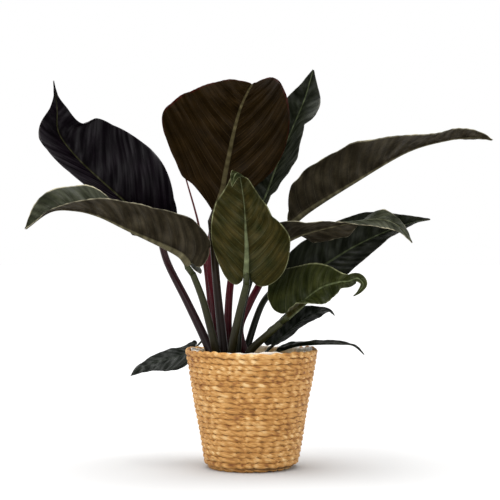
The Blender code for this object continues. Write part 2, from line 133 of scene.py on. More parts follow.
def rope_tree(material):
    """Two strands wound round a path: each is moved off it, turning, and given thickness."""
    tree = bpy.data.node_groups.new("twisted_rope", "GeometryNodeTree")
    tree.interface.new_socket("Path", in_out="INPUT", socket_type="NodeSocketGeometry")
    for name in ("Strand radius", "Wind radius", "Pitch", "Step"):
        tree.interface.new_socket(name, in_out="INPUT", socket_type="NodeSocketFloat")
    tree.interface.new_socket("Rope", in_out="OUTPUT", socket_type="NodeSocketGeometry")
    given = node(tree, "NodeGroupInput").outputs
    curve = node(tree, "GeometryNodeMeshToCurve", {0: given["Path"]})
    evened = node(tree, "GeometryNodeResampleCurve", {"Curve": curve.outputs[0], "Length": given["Step"]},
                  mode="LENGTH")
    run = node(tree, "GeometryNodeSplineParameter").outputs["Length"]
    spot = node(tree, "GeometryNodeInputPosition").outputs[0]
    flat = node(tree, "ShaderNodeVectorMath", {0: spot, 1: (1, 1, 0)}, operation="MULTIPLY")
    outward = node(tree, "ShaderNodeVectorMath", {0: flat.outputs[0]}, operation="NORMALIZE")
    turns = node(tree, "ShaderNodeMath", {0: run, 1: given["Pitch"]}, operation="DIVIDE")
    # Hand twisting: the twist runs faster and slower, strips are thicker and thinner, rows wander
    slack = node(tree, "ShaderNodeTexNoise", {"Vector": spot, "Scale": 24.0, "Detail": 1.0})
    fat = node(tree, "ShaderNodeTexNoise", {"Vector": spot, "Scale": 90.0, "Detail": 2.0})
    thick = node(tree, "ShaderNodeMapRange", {0: fat.outputs[0], 1: 0.3, 2: 0.7, 3: 0.78, 4: 1.14})
    sway = node(tree, "ShaderNodeTexNoise", {"Vector": spot, "Scale": 45.0, "Detail": 2.0})
    sway = node(tree, "ShaderNodeMapRange", {0: sway.outputs[0], 1: 0.3, 2: 0.7, 3: -1.0 * MM, 4: 1.0 * MM})
    sway = node(tree, "ShaderNodeCombineXYZ", {2: sway.outputs[0]})
    strands = node(tree, "GeometryNodeJoinGeometry")
    profile = node(tree, "GeometryNodeCurvePrimitiveCircle",
                   {"Resolution": 8, "Radius": given["Strand radius"]})
    around = node(tree, "GeometryNodeSplineParameter").outputs["Factor"]
    marked = node(tree, "GeometryNodeStoreNamedAttribute",
                  {"Geometry": profile.outputs[0], "Name": "around", "Value": around},
                  data_type="FLOAT", domain="POINT")
    for half in (0.0, 0.5):
        swing = node(tree, "ShaderNodeMath", {0: slack.outputs[0], 1: 0.7, 2: half},
                     operation="MULTIPLY_ADD")
        turned = node(tree, "ShaderNodeMath", {0: turns.outputs[0], 1: swing.outputs[0]})
        angle = node(tree, "ShaderNodeMath", {0: turned.outputs[0], 1: -2 * math.pi}, operation="MULTIPLY")
        # The coil is pulled tight, so a strand stands out from the wall less than it rises
        out = node(tree, "ShaderNodeMath", {0: angle.outputs[0]}, operation="COSINE")
        out = node(tree, "ShaderNodeMath", {0: out.outputs[0], 1: 0.4}, operation="MULTIPLY")
        lift = node(tree, "ShaderNodeMath", {0: angle.outputs[0]}, operation="SINE")
        sideways = node(tree, "ShaderNodeVectorMath", {0: outward.outputs[0], "Scale": out.outputs[0]},
                        operation="SCALE")
        upward = node(tree, "ShaderNodeVectorMath", {0: (0, 0, 1), "Scale": lift.outputs[0]},
                      operation="SCALE")
        both = node(tree, "ShaderNodeVectorMath", {0: sideways.outputs[0], 1: upward.outputs[0]})
        offset = node(tree, "ShaderNodeVectorMath", {0: both.outputs[0], "Scale": given["Wind radius"]},
                      operation="SCALE")
        offset = node(tree, "ShaderNodeVectorMath", {0: offset.outputs[0], 1: sway.outputs[0]})
        grain = node(tree, "GeometryNodeStoreNamedAttribute",
                     {"Geometry": evened.outputs[0], "Name": "grain", "Value": turned.outputs[0]},
                     data_type="FLOAT", domain="POINT")
        moved = node(tree, "GeometryNodeSetPosition",
                     {"Geometry": grain.outputs[0], "Offset": offset.outputs[0]})
        sized = node(tree, "GeometryNodeSetCurveRadius", {0: moved.outputs[0], "Radius": thick.outputs[0]})
        solid = node(tree, "GeometryNodeCurveToMesh",
                     {0: sized.outputs[0], 1: marked.outputs[0], "Fill Caps": True})
        tree.links.new(solid.outputs[0], strands.inputs[0])
    smooth = node(tree, "GeometryNodeSetShadeSmooth", {0: strands.outputs[0]})
    real = node(tree, "GeometryNodeRealizeInstances", {0: smooth.outputs[0]})
    dressed = node(tree, "GeometryNodeSetMaterial", {"Geometry": real.outputs[0], "Material": material})
    node(tree, "NodeGroupOutput", {0: dressed.outputs[0]})
    return tree


def grown(name, base_mesh, tree, material_slot, values, *nodes):
    """Runs a node tree on a mesh and keeps its result as a plain mesh piece."""
    carrier = bpy.data.objects.new(name + "_base", base_mesh)
    bpy.context.scene.collection.objects.link(carrier)
    modifier = carrier.modifiers.new("grow", "NODES")
    modifier.node_group = tree
    for socket in tree.interface.items_tree:
        if socket.in_out == "INPUT" and socket.name in values:
            modifier[socket.identifier] = values[socket.name]
    seen = carrier.evaluated_get(bpy.context.evaluated_depsgraph_get())
    mesh = bpy.data.meshes.new_from_object(seen)
    carrier.modifiers.clear()
    bpy.data.objects.remove(carrier)
    return place_piece(name, mesh, material_slot, *nodes)


def dry_strip_material():
    """Sun-dried leaf strip, twisted by hand: matt and fibrous, from pale straw to toasted brown,
    each visible twist of a strand a little lighter or darker than the next."""
    material, tree, shader = new_material("dried_leaf_strip")
    grain = node(tree, "ShaderNodeAttribute", attribute_name="grain").outputs["Fac"]
    around = node(tree, "ShaderNodeAttribute", attribute_name="around").outputs["Fac"]
    place = node(tree, "ShaderNodeTexCoord").outputs["Object"]
    # One value for each twist (about 15 mm of strand), and one for each few rows of the basket
    twist = node(tree, "ShaderNodeTexNoise", {"W": grain, "Scale": 3.1, "Detail": 1.0},
                 noise_dimensions="1D")
    patch = node(tree, "ShaderNodeTexNoise", {"Vector": place, "Scale": 22.0, "Detail": 2.0})
    # Fibres run along the strand, about 0.5 mm apart
    line = node(tree, "ShaderNodeCombineXYZ", {0: grain, 1: around})
    along = node(tree, "ShaderNodeMapping", {"Vector": line.outputs[0], "Scale": (4.0, 26.0, 1.0)})
    fibre = node(tree, "ShaderNodeTexNoise", {"Vector": along.outputs[0], "Scale": 1.0, "Detail": 3.0})
    mixed = node(tree, "ShaderNodeMath", {0: twist.outputs[0], 1: 0.35}, operation="MULTIPLY")
    mixed = node(tree, "ShaderNodeMath", {0: patch.outputs[0], 1: 0.25, 2: mixed.outputs[0]},
                 operation="MULTIPLY_ADD")
    mixed = node(tree, "ShaderNodeMath", {0: fibre.outputs[0], 1: 0.5, 2: mixed.outputs[0]},
                 operation="MULTIPLY_ADD")
    colour = ramp(tree, mixed.outputs[0], (0.4, "#7A4516"), (0.5, "#B27C38"), (0.6, "#CF9B56"),
                  (0.7, "#E9C78F"))
    tree.links.new(colour, shader.inputs["Base Color"])
    rough = node(tree, "ShaderNodeMapRange", {0: fibre.outputs[0], 3: 0.5, 4: 0.8})
    tree.links.new(rough.outputs[0], shader.inputs["Roughness"])
    bump = node(tree, "ShaderNodeBump", {"Height": fibre.outputs[0], "Strength": 0.5, "Distance": 0.0006})
    tree.links.new(bump.outputs[0], shader.inputs["Normal"])
    return material


rope_mesh = bpy.data.meshes.new("rope_path")
rope_points = rope_path()
rope_mesh.from_pydata(rope_points, [(i, i + 1) for i in range(len(rope_points) - 1)], [])
dry_strip = dry_strip_material()
grown("basket_rope", rope_mesh, rope_tree(dry_strip), "basket_rope",
      {"Strand radius": 3.5 * MM, "Wind radius": 2.0 * MM, "Pitch": 40.0 * MM, "Step": 2.8 * MM},
      "basket")


# Sewing inside the wall.
# The thread and leaf core that hold the coils together, seen only between two rows. Here it is
# one thin closed shell in the middle of the rope's thickness, darker than the rope as painted
# shade in the grooves between the rows.
CORE_HALF = 1.2


def turned_mesh(name, profile, steps, wobble=None):
    """A closed body turned about Z from (radius, height) in millimetres; wobble moves a point."""
    shape = bmesh.new()
    rings = []
    for r, z in profile:
        if r == 0:
            rings.append([shape.verts.new((0, 0, z * MM))])
            continue
        ring = []
        for step in range(steps):
            angle = 2 * math.pi * step / steps
            far, high = (r, z) if wobble is None else wobble(r, z, angle)
            ring.append(shape.verts.new((far * math.cos(angle) * MM, far * math.sin(angle) * MM, high * MM)))
        rings.append(ring)
    for above, below in zip(rings, rings[1:]):
        for step in range(steps):
            after = (step + 1) % steps
            corners = [above[step % len(above)], above[after % len(above)],
                       below[after % len(below)], below[step % len(below)]]
            kept = [c for i, c in enumerate(corners) if c not in corners[:i]]
            if len(kept) > 2:
                shape.faces.new(kept)
    bmesh.ops.recalc_face_normals(shape, faces=shape.faces)
    mesh = bpy.data.meshes.new(name)
    shape.to_mesh(mesh)
    shape.free()
    mesh.shade_smooth()
    return mesh


def groove_shade_core_material():
    """Dry leaf core in the grooves, quite matt and a darker brown than the rope: painted shade, so the rows
    read apart.
    """
    material, tree, shader = new_material("painted_groove_shade_core")
    place = node(tree, "ShaderNodeTexCoord").outputs["Object"]
    speck = node(tree, "ShaderNodeTexNoise", {"Vector": place, "Scale": 400.0, "Detail": 3.0})
    colour = ramp(tree, speck.outputs[0], (0.3, "#6E4A26"), (0.7, "#A0753F"))
    tree.links.new(colour, shader.inputs["Base Color"])
    shader.inputs["Roughness"].default_value = 0.9
    bump = node(tree, "ShaderNodeBump", {"Height": speck.outputs[0], "Strength": 0.4, "Distance": 0.0008})
    tree.links.new(bump.outputs[0], shader.inputs["Normal"])
    return material


def core_r(z):
    return wall_r(z) - ROPE_R - max(0, 13 - z) * 0.45


core_profile = [(0, 6.2), (core_r(7) - CORE_HALF - 2, 6.2)]
core_profile += [(core_r(z) - CORE_HALF, z) for z in (16, 60, 110, 160, 193)]
core_profile += [(core_r(z) + CORE_HALF, z) for z in (193, 160, 110, 60, 16)]
core_profile += [(core_r(7) + CORE_HALF - 3, 3.8), (0, 3.8)]
# A sheet coloured as painted shade, seen between the rope's rows
core_mesh = turned_mesh("basket_core_shade_sheet", core_profile, 96)
core_mesh.materials.append(groove_shade_core_material())
place_piece("basket_core_shade_sheet", core_mesh, "basket_rope", "basket")


# Liner.
# Thin cloudy plastic film that keeps the basket dry. It is loose, so it is creased all round,
# and its cut edge stands a little above the rope at some places and dips below at others.
LINER_GAP = 0.6
LINER_FILM = 0.5


def film_wobble(r, z, angle):
    """Creases that grow towards the film's loose upper edge."""
    loose = max(0, (z - 120) / 80)
    crease = 0.9 * math.sin(23 * angle + 2 * math.sin(3 * angle)) + 0.5 * math.sin(61 * angle + z * 0.05)
    edge = 1.6 * math.sin(4 * angle + 1) + 1.0 * math.sin(9 * angle) + 0.5 * math.sin(31 * angle)
    return r + (crease - 1.0) * loose, z + edge * max(0, (z - 175) / 24)


def film_material():
    """Clear polythene gone milky with handling: the straw shows through it, and only its doubled
    upper edge is nearly white. A soft gloss and faint long creases."""
    material, tree, shader = new_material("milky_polythene_film")
    place = node(tree, "ShaderNodeTexCoord").outputs["Object"]
    cloud = node(tree, "ShaderNodeTexNoise", {"Vector": place, "Scale": 60.0, "Detail": 3.0})
    straw = ramp(tree, cloud.outputs[0], (0.35, "#B9935C"), (0.65, "#E2CFA8"))
    milky = ramp(tree, cloud.outputs[0], (0.3, "#D8CDB8"), (0.7, "#F0ECE4"))
    height = node(tree, "ShaderNodeSeparateXYZ", {0: place}).outputs[2]
    edge = node(tree, "ShaderNodeMapRange", {0: height, 1: 0.193, 2: 0.199}).outputs[0]
    colour = node(tree, "ShaderNodeMix", {0: edge, 6: straw, 7: milky}, data_type="RGBA")
    tree.links.new(colour.outputs[2], shader.inputs["Base Color"])
    shader.inputs["Roughness"].default_value = 0.35
    shader.inputs["IOR"].default_value = 1.5
    bump = node(tree, "ShaderNodeBump", {"Height": cloud.outputs[0], "Strength": 0.3, "Distance": 0.001})
    tree.links.new(bump.outputs[0], shader.inputs["Normal"])
    return material


def liner_r(z):
    return wall_r(z) - 2 * ROPE_R - LINER_GAP


liner_heights = (9, 40, 80, 120, 140, 160, 175, 184, 191, 196, 199.5)
film_profile = [(0, 8.5), (liner_r(9) - 3, 8.5)] + [(liner_r(z) - LINER_FILM, z) for z in liner_heights[1:]]
film_profile += [(liner_r(z), z) for z in reversed(liner_heights[1:])] + [(liner_r(9) - 2, 8.0), (0, 8.0)]
film_mesh = turned_mesh("liner_film", film_profile, 280, film_wobble)
film_mesh.materials.append(film_material())
place_piece("liner_film", film_mesh, "liner_film", "liner")


# Nursery pot.
# Thin moulded polypropylene pot with a turned-out lip, as growers use. It keeps its CAD shape
# and gets its own plastic, with the fine rings and dusty marks such pots have.
def pot_material():
    """Black recycled polypropylene, injection moulded: satin, faintly ringed, dusty grey-brown."""
    material, tree, shader = new_material("moulded_polypropylene")
    place = node(tree, "ShaderNodeTexCoord").outputs["Object"]
    ring = node(tree, "ShaderNodeTexWave", {"Vector": place, "Scale": 60.0, "Distortion": 0.4},
                bands_direction="Z")
    dust = node(tree, "ShaderNodeTexNoise", {"Vector": place, "Scale": 45.0, "Detail": 4.0})
    colour = ramp(tree, dust.outputs[0], (0.35, "#191614"), (0.75, "#3A332C"))
    tree.links.new(colour, shader.inputs["Base Color"])
    rough = node(tree, "ShaderNodeMapRange", {0: dust.outputs[0], 3: 0.35, 4: 0.65})
    tree.links.new(rough.outputs[0], shader.inputs["Roughness"])
    bump = node(tree, "ShaderNodeBump", {"Height": ring.outputs[1], "Strength": 0.15, "Distance": 0.0003})
    tree.links.new(bump.outputs[0], shader.inputs["Normal"])
    return material


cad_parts["nursery_pot"].material_slots[0].material = pot_material()


# Potting soil.
# Damp peat with bark and grit, filled to just under the pot's lip. It is a lumpy closed mound,
# and loose crumbs of bark and a few grains of white pumice are strewn over it.
SOIL_TOP = 172.0
SOIL_R = 92.0


def soil_wobble(r, z, angle):
    if z < SOIL_TOP - 12:
        return r, z
    spot = Vector((r * math.cos(angle), r * math.sin(angle), 0))
    lump = 2.0 * noise.noise(spot * 0.07) + 1.4 * noise.noise(spot * 0.2) + 0.8 * noise.noise(spot * 0.5)
    return r, z + lump * min(1, (SOIL_R + 6 - r) / 20)


def soil_material():
    """Damp peat mix: near-black brown with lighter fibres, and rough."""
    material, tree, shader = new_material("damp_peat_mix")
    place = node(tree, "ShaderNodeTexCoord").outputs["Object"]
    crumb = node(tree, "ShaderNodeTexNoise", {"Vector": place, "Scale": 350.0, "Detail": 5.0})
    tree.links.new(ramp(tree, crumb.outputs[0], (0.35, "#120C08"), (0.55, "#2C1F15"), (0.75, "#57402A")),
                   shader.inputs["Base Color"])
    shader.inputs["Roughness"].default_value = 0.85
    bump = node(tree, "ShaderNodeBump", {"Height": crumb.outputs[0], "Strength": 0.9, "Distance": 0.002})
    tree.links.new(bump.outputs[0], shader.inputs["Normal"])
    return material


def crumb_material():
    """Composted pine bark: brown chips, some greyed, cut faces lighter."""
    material, tree, shader = new_material("composted_bark")
    place = node(tree, "ShaderNodeTexCoord").outputs["Object"]
    chip = node(tree, "ShaderNodeTexVoronoi", {"Vector": place, "Scale": 130.0})
    tone = node(tree, "ShaderNodeSeparateColor", {0: chip.outputs["Color"]})
    tree.links.new(ramp(tree, tone.outputs[0], (0.1, "#1E140D"), (0.6, "#4B3320"), (0.9, "#6B4C31"),
                        (0.97, "#B9AB98")), shader.inputs["Base Color"])
    shader.inputs["Roughness"].default_value = 0.8
    return material


def strewn_tree(material):
    """Small crumbs strewn over a surface, each turned and sized by chance."""
    tree = bpy.data.node_groups.new("strewn_crumbs", "GeometryNodeTree")
    tree.interface.new_socket("Ground", in_out="INPUT", socket_type="NodeSocketGeometry")
    for name in ("Density", "Least size", "Most size"):
        tree.interface.new_socket(name, in_out="INPUT", socket_type="NodeSocketFloat")
    tree.interface.new_socket("Seed", in_out="INPUT", socket_type="NodeSocketInt")
    tree.interface.new_socket("Crumbs", in_out="OUTPUT", socket_type="NodeSocketGeometry")
    given = node(tree, "NodeGroupInput").outputs
    facing = node(tree, "GeometryNodeInputNormal").outputs[0]
    up = node(tree, "ShaderNodeSeparateXYZ", {0: facing})
    level = node(tree, "FunctionNodeCompare", {0: up.outputs[2], 1: 0.5}, operation="GREATER_THAN")
    spots = node(tree, "GeometryNodeDistributePointsOnFaces",
                 {"Mesh": given["Ground"], "Selection": level.outputs[0], "Density": given["Density"],
                  "Seed": given["Seed"]})
    lump = node(tree, "GeometryNodeMeshIcoSphere", {"Radius": 1.0, "Subdivisions": 1})
    turn = node(tree, "FunctionNodeRandomValue", {"Min": (0, 0, 0), "Max": (6.28, 6.28, 6.28), "Seed": 3},
                data_type="FLOAT_VECTOR")
    size = node(tree, "FunctionNodeRandomValue", {2: given["Least size"], 3: given["Most size"], "Seed": 5},
                data_type="FLOAT")
    shape = node(tree, "FunctionNodeRandomValue",
                 {"Min": (0.5, 0.7, 0.25), "Max": (1.2, 1.5, 0.7), "Seed": 7}, data_type="FLOAT_VECTOR")
    scale = node(tree, "ShaderNodeVectorMath", {0: shape.outputs[0], "Scale": size.outputs[1]},
                 operation="SCALE")
    placed = node(tree, "GeometryNodeInstanceOnPoints",
                  {"Points": spots.outputs[0], "Instance": lump.outputs[0], "Rotation": turn.outputs[0],
                   "Scale": scale.outputs[0]})
    real = node(tree, "GeometryNodeRealizeInstances", {0: placed.outputs[0]})
    dressed = node(tree, "GeometryNodeSetMaterial", {"Geometry": real.outputs[0], "Material": material})
    node(tree, "NodeGroupOutput", {0: dressed.outputs[0]})
    return tree


soil_profile = [(0, SOIL_TOP)] + [(r, SOIL_TOP - 1) for r in range(3, 90, 3)]
soil_profile += [(SOIL_R, SOIL_TOP - 4), (SOIL_R - 1, SOIL_TOP - 12), (65, 20), (0, 20)]
soil_mesh = turned_mesh("soil_mound", soil_profile, 180, soil_wobble)
soil_mesh.materials.append(soil_material())
place_piece("soil_mound", soil_mesh, "soil", "soil")
grown("bark_crumbs", soil_mesh.copy(), strewn_tree(crumb_material()), "soil",
      {"Density": 70000.0, "Least size": 0.9 * MM, "Most size": 2.6 * MM, "Seed": 11})


# Stem.
# The short creeping stem among the stalks' feet, ringed where old leaves came off. It keeps its
# CAD shape and gets a dry, corky skin.
def stem_material():
    """Old philodendron stem: tan cork with darker scars and fine cracks, quite dull."""
    material, tree, shader = new_material("corky_stem_skin")
    place = node(tree, "ShaderNodeTexCoord").outputs["Object"]
    long_way = node(tree, "ShaderNodeMapping", {"Vector": place, "Scale": (500.0, 500.0, 90.0)})
    crack = node(tree, "ShaderNodeTexNoise", {"Vector": long_way.outputs[0], "Scale": 1.0, "Detail": 4.0})
    tree.links.new(ramp(tree, crack.outputs[0], (0.35, "#2A1E14"), (0.6, "#5A4630"), (0.8, "#7C6646")),
                   shader.inputs["Base Color"])
    shader.inputs["Roughness"].default_value = 0.8
    bump = node(tree, "ShaderNodeBump", {"Height": crack.outputs[0], "Strength": 0.7, "Distance": 0.001})
    tree.links.new(bump.outputs[0], shader.inputs["Normal"])
    return material


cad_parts["stem"].material_slots[0].material = stem_material()


# Leaf stalks.
# Each leaf stands on its own smooth, juicy stalk that rises from the stem. A stalk is thickest
# at its foot, slightly grooved along its upper side, and runs straight on as the midrib.
STALK_FOOT = 158.0
STALK_GAP = 0.5
BLADE = 0.9
KNEE = 3.0
FRAMES = 160
STALK_SIDES = 20
STALK_RINGS = 70


def unit(vectors):
    return vectors / np.linalg.norm(vectors, axis=-1, keepdims=True)


def blend_rows(rows, at, wanted):
    """Rows of numbers, known at some places, read at other places."""
    rows = np.array(rows, dtype=float)
    return np.column_stack([np.interp(wanted, at, column) for column in rows.T])


def smooth_line(points, count):
    """Evenly spaced places, in metres, on a smooth curve through points in millimetres."""
    given = np.array(points, dtype=float) * MM
    ends = np.vstack([2 * given[0] - given[1], given, 2 * given[-1] - given[-2]])
    steps = np.linspace(0, 1, 24, endpoint=False)[:, None]
    fine = []
    for a, b, c, d in zip(ends, ends[1:], ends[2:], ends[3:]):
        fine.append(b + 0.5 * steps * (c - a)
                    + steps ** 2 * (a - 2.5 * b + 2 * c - 0.5 * d)
                    + steps ** 3 * (1.5 * (b - c) + 0.5 * (d - a)))
    fine = np.vstack(fine + [given[-1:]])
    along = np.concatenate([[0], np.cumsum(np.linalg.norm(np.diff(fine, axis=0), axis=1))])
    return blend_rows(fine, along / along[-1], np.linspace(0, 1, count))


def midrib_frame(leaf):
    """Along the midrib: place, way ahead, way up from the upper side, way to the right."""
    place = smooth_line(leaf["midrib"], FRAMES)
    ahead = unit(np.gradient(place, axis=0))
    face = blend_rows(leaf["face"], np.linspace(0, 1, len(leaf["face"])), np.linspace(0, 1, FRAMES))
    up = unit(face - ahead * np.sum(face * ahead, axis=1, keepdims=True))
    return place, ahead, up, np.cross(ahead, up)


def stalk_line(leaf):
    """A stalk's centre line: up out of the soil, and at the top straight into its midrib."""
    place, ahead, up, _ = midrib_frame(leaf)
    top_r = leaf["radii"][1]
    end = place[0] / MM - ahead[0] * STALK_GAP - up[0] * (top_r - BLADE / 2)
    knee = end - ahead[0] * KNEE * top_r
    foot = (leaf["stalk"][0][0], leaf["stalk"][0][1], STALK_FOOT)
    line = smooth_line([foot] + leaf["stalk"] + [knee - ahead[0] * 0.5, knee], STALK_RINGS)
    run_on = [end * MM, end * MM + ahead[0] * 6 * MM]
    return np.vstack([line, run_on])


def tube_mesh(name, line, radii, groove, foot_swell=0.0):
    """A round closed stalk along a line, its ring turned without twist from foot to top."""
    ahead = unit(np.gradient(line, axis=0))
    side = unit(np.cross(ahead[0], (0.0, 1.0, 0.2)))
    far = np.concatenate([[0], np.cumsum(np.linalg.norm(np.diff(line, axis=0), axis=1))])
    points, marks = [], []
    for index, (place, way) in enumerate(zip(line, ahead)):
        share = far[index] / far[-1]
        side = unit(side - way * np.dot(side, way))
        over = np.cross(way, side)
        radius = (radii[0] + (radii[1] - radii[0]) * share) * MM
        radius *= 1 + foot_swell * math.exp(-share / 0.12)
        radius *= 1 - 0.5 * max(0, (index - len(line) + 2) / 1)
        for step in range(STALK_SIDES):
            angle = 2 * math.pi * step / STALK_SIDES
            dip = 1 - groove * math.exp(-((angle - math.pi) / 0.5) ** 2)
            points.append(place + (side * math.cos(angle) + over * math.sin(angle)) * radius * dip)
            marks.append((share, step / STALK_SIDES, far[index] / MM))
    rings = len(line)
    faces = []
    for r in range(rings - 1):
        for s in range(STALK_SIDES):
            a, b = r * STALK_SIDES + s, r * STALK_SIDES + (s + 1) % STALK_SIDES
            faces.append((a, b, b + STALK_SIDES, a + STALK_SIDES))
    faces.append(tuple(reversed(range(STALK_SIDES))))
    faces.append(tuple((rings - 1) * STALK_SIDES + s for s in range(STALK_SIDES)))
    mesh = bpy.data.meshes.new(name)
    mesh.from_pydata([tuple(p) for p in points], [], faces)
    for key, column in (("share", 0), ("run", 2)):
        layer = mesh.attributes.new(key, "FLOAT", "POINT")
        layer.data.foreach_set("value", [m[column] for m in marks])
    mesh.shade_smooth()
    return mesh


def stalk_material(name, foot, middle, top, rough=0.3):
    """Fresh leaf stalk: a smooth waxy skin over wet flesh, so a soft clear gloss; its red and
    green run into each other along its length in fine streaks and flecks."""
    material, tree, shader = new_material(name)
    share = node(tree, "ShaderNodeAttribute", attribute_name="share").outputs["Fac"]
    place = node(tree, "ShaderNodeTexCoord").outputs["Object"]
    # Streaks about 1.5 mm wide and 30 mm long
    stretch = node(tree, "ShaderNodeMapping", {"Vector": place, "Scale": (650.0, 650.0, 35.0)})
    streak = node(tree, "ShaderNodeTexNoise", {"Vector": stretch.outputs[0], "Scale": 1.0, "Detail": 2.0})
    shift = node(tree, "ShaderNodeMath", {0: streak.outputs[0], 1: 0.5}, operation="SUBTRACT")
    where = node(tree, "ShaderNodeMath", {0: shift.outputs[0], 1: 0.6, 2: share}, operation="MULTIPLY_ADD")
    colour = ramp(tree, where.outputs[0], (0.0, foot), (0.45, middle), (1.0, top))
    fleck = node(tree, "ShaderNodeTexNoise", {"Vector": place, "Scale": 300.0, "Detail": 2.0})
    light = node(tree, "ShaderNodeMapRange", {0: fleck.outputs[0], 1: 0.3, 2: 0.7, 3: 0.75, 4: 1.3})
    toned = node(tree, "ShaderNodeVectorMath", {0: colour, "Scale": light.outputs[0]}, operation="SCALE")
    tree.links.new(toned.outputs[0], shader.inputs["Base Color"])
    shader.inputs["Roughness"].default_value = rough
    shader.inputs["IOR"].default_value = 1.42
    shader.inputs["Specular IOR Level"].default_value = 0.25
    bump = node(tree, "ShaderNodeBump", {"Height": streak.outputs[0], "Strength": 0.2, "Distance": 0.0005})
    tree.links.new(bump.outputs[0], shader.inputs["Normal"])
    return material


stalk_skins = {
    "stalk_crimson": stalk_material("crimson_stalk_skin", "#140306", "#440410", "#3A0811", 0.28),
    "stalk_black_brown": stalk_material("black_brown_stalk_skin", "#100607", "#1C1009", "#2A2314", 0.28),
    "stalk_purple": stalk_material("purple_stalk_skin", "#0E0406", "#220A0E", "#28100F"),
    "stalk_olive": stalk_material("olive_stalk_skin", "#120C06", "#22200C", "#33371D"),
    "stalk_dark_green": stalk_material("dark_green_stalk_skin", "#0E0F08", "#171A0E", "#242A18"),
}


def grow_stalk(leaf):
    name = "petiole_" + leaf["name"]
    mesh = tube_mesh(name + "_skin", stalk_line(leaf), leaf["radii"], 0.12, leaf.get("swell", 0.12))
    mesh.materials.append(stalk_skins[leaf.get("stalk_skin", leaf["stalk_slot"])])
    place_piece(name + "_skin", mesh, leaf["stalk_slot"], name)


# Leaf blades.
# A blade is one thin leathery sheet, folded and waved as it grew. A stout midrib stands out on
# its underside; side veins leave it steeply and bend towards the tip, and between them the sheet
# is quilted. The edge is a thin pale or reddish cartilage line.
# Each row is a side vein: where it leaves the midrib, where it meets the edge, and how far out
HEART = [
    (0.000, 0.00, 0.05),
    (0.011, -0.05, 0.13),
    (0.021, -0.09, 0.31),
    (0.031, -0.07, 0.56),
    (0.042, 0.00, 0.79),
    (0.060, 0.12, 0.94),
    (0.100, 0.28, 1.00),
    (0.185, 0.45, 0.95),
    (0.335, 0.62, 0.79),
    (0.530, 0.78, 0.54),
    (0.740, 0.90, 0.27),
    (0.910, 0.97, 0.09),
    (0.995, 1.00, 0.02),
]
WEDGE = [
    (0.000, 0.00, 0.05),
    (0.010, 0.03, 0.14),
    (0.020, 0.07, 0.28),
    (0.032, 0.12, 0.46),
    (0.050, 0.19, 0.66),
    (0.080, 0.28, 0.84),
    (0.130, 0.40, 0.97),
    (0.215, 0.53, 1.00),
    (0.350, 0.67, 0.88),
    (0.530, 0.81, 0.61),
    (0.730, 0.92, 0.30),
    (0.900, 0.975, 0.10),
    (0.995, 1.00, 0.02),
]
NOTCH_ROWS = 2
NOTCH_CLEAR = 1.2
TIP_HALF = 0.8
LOBE, LOBE_OUT = 0.09, 0.31
RIDGE_HALF = (0.9, 0.75)
RIDGE_DEPTH = (1.5, 0.85)
RIDGE_SHARE = 0.6
SIDE_PHASE = 0.37
VEIN_BEND = 1.5
VEIN_CURVE = 1.3
BLADE_ROWS = 145                 # rows of a blade's fine grid
RIB_COLUMNS = (0.35, 0.65, 0.88, 1.0)
HALF_COLUMNS = (0.03, 0.07, 0.12, 0.18, 0.25, 0.33, 0.42, 0.51, 0.60, 0.69, 0.78, 0.86, 0.92, 0.97, 1.0)


def through(values, at):
    """A smooth curve through evenly spaced values, read at places from 0 to 1."""
    values = np.asarray(values, dtype=float)
    spot = np.clip(at * (len(values) - 1), 0, len(values) - 1 - 1e-9)
    low = spot.astype(int)
    ends = np.concatenate([[2 * values[0] - values[1]], values, [2 * values[-1] - values[-2]]])
    a, b, c, d = (ends[low + k] for k in range(4))
    f = spot - low
    bent = a - 2.5 * b + 2 * c - 0.5 * d
    return b + 0.5 * f * (c - a) + f ** 2 * bent + f ** 3 * (1.5 * (b - c) + 0.5 * (d - a))


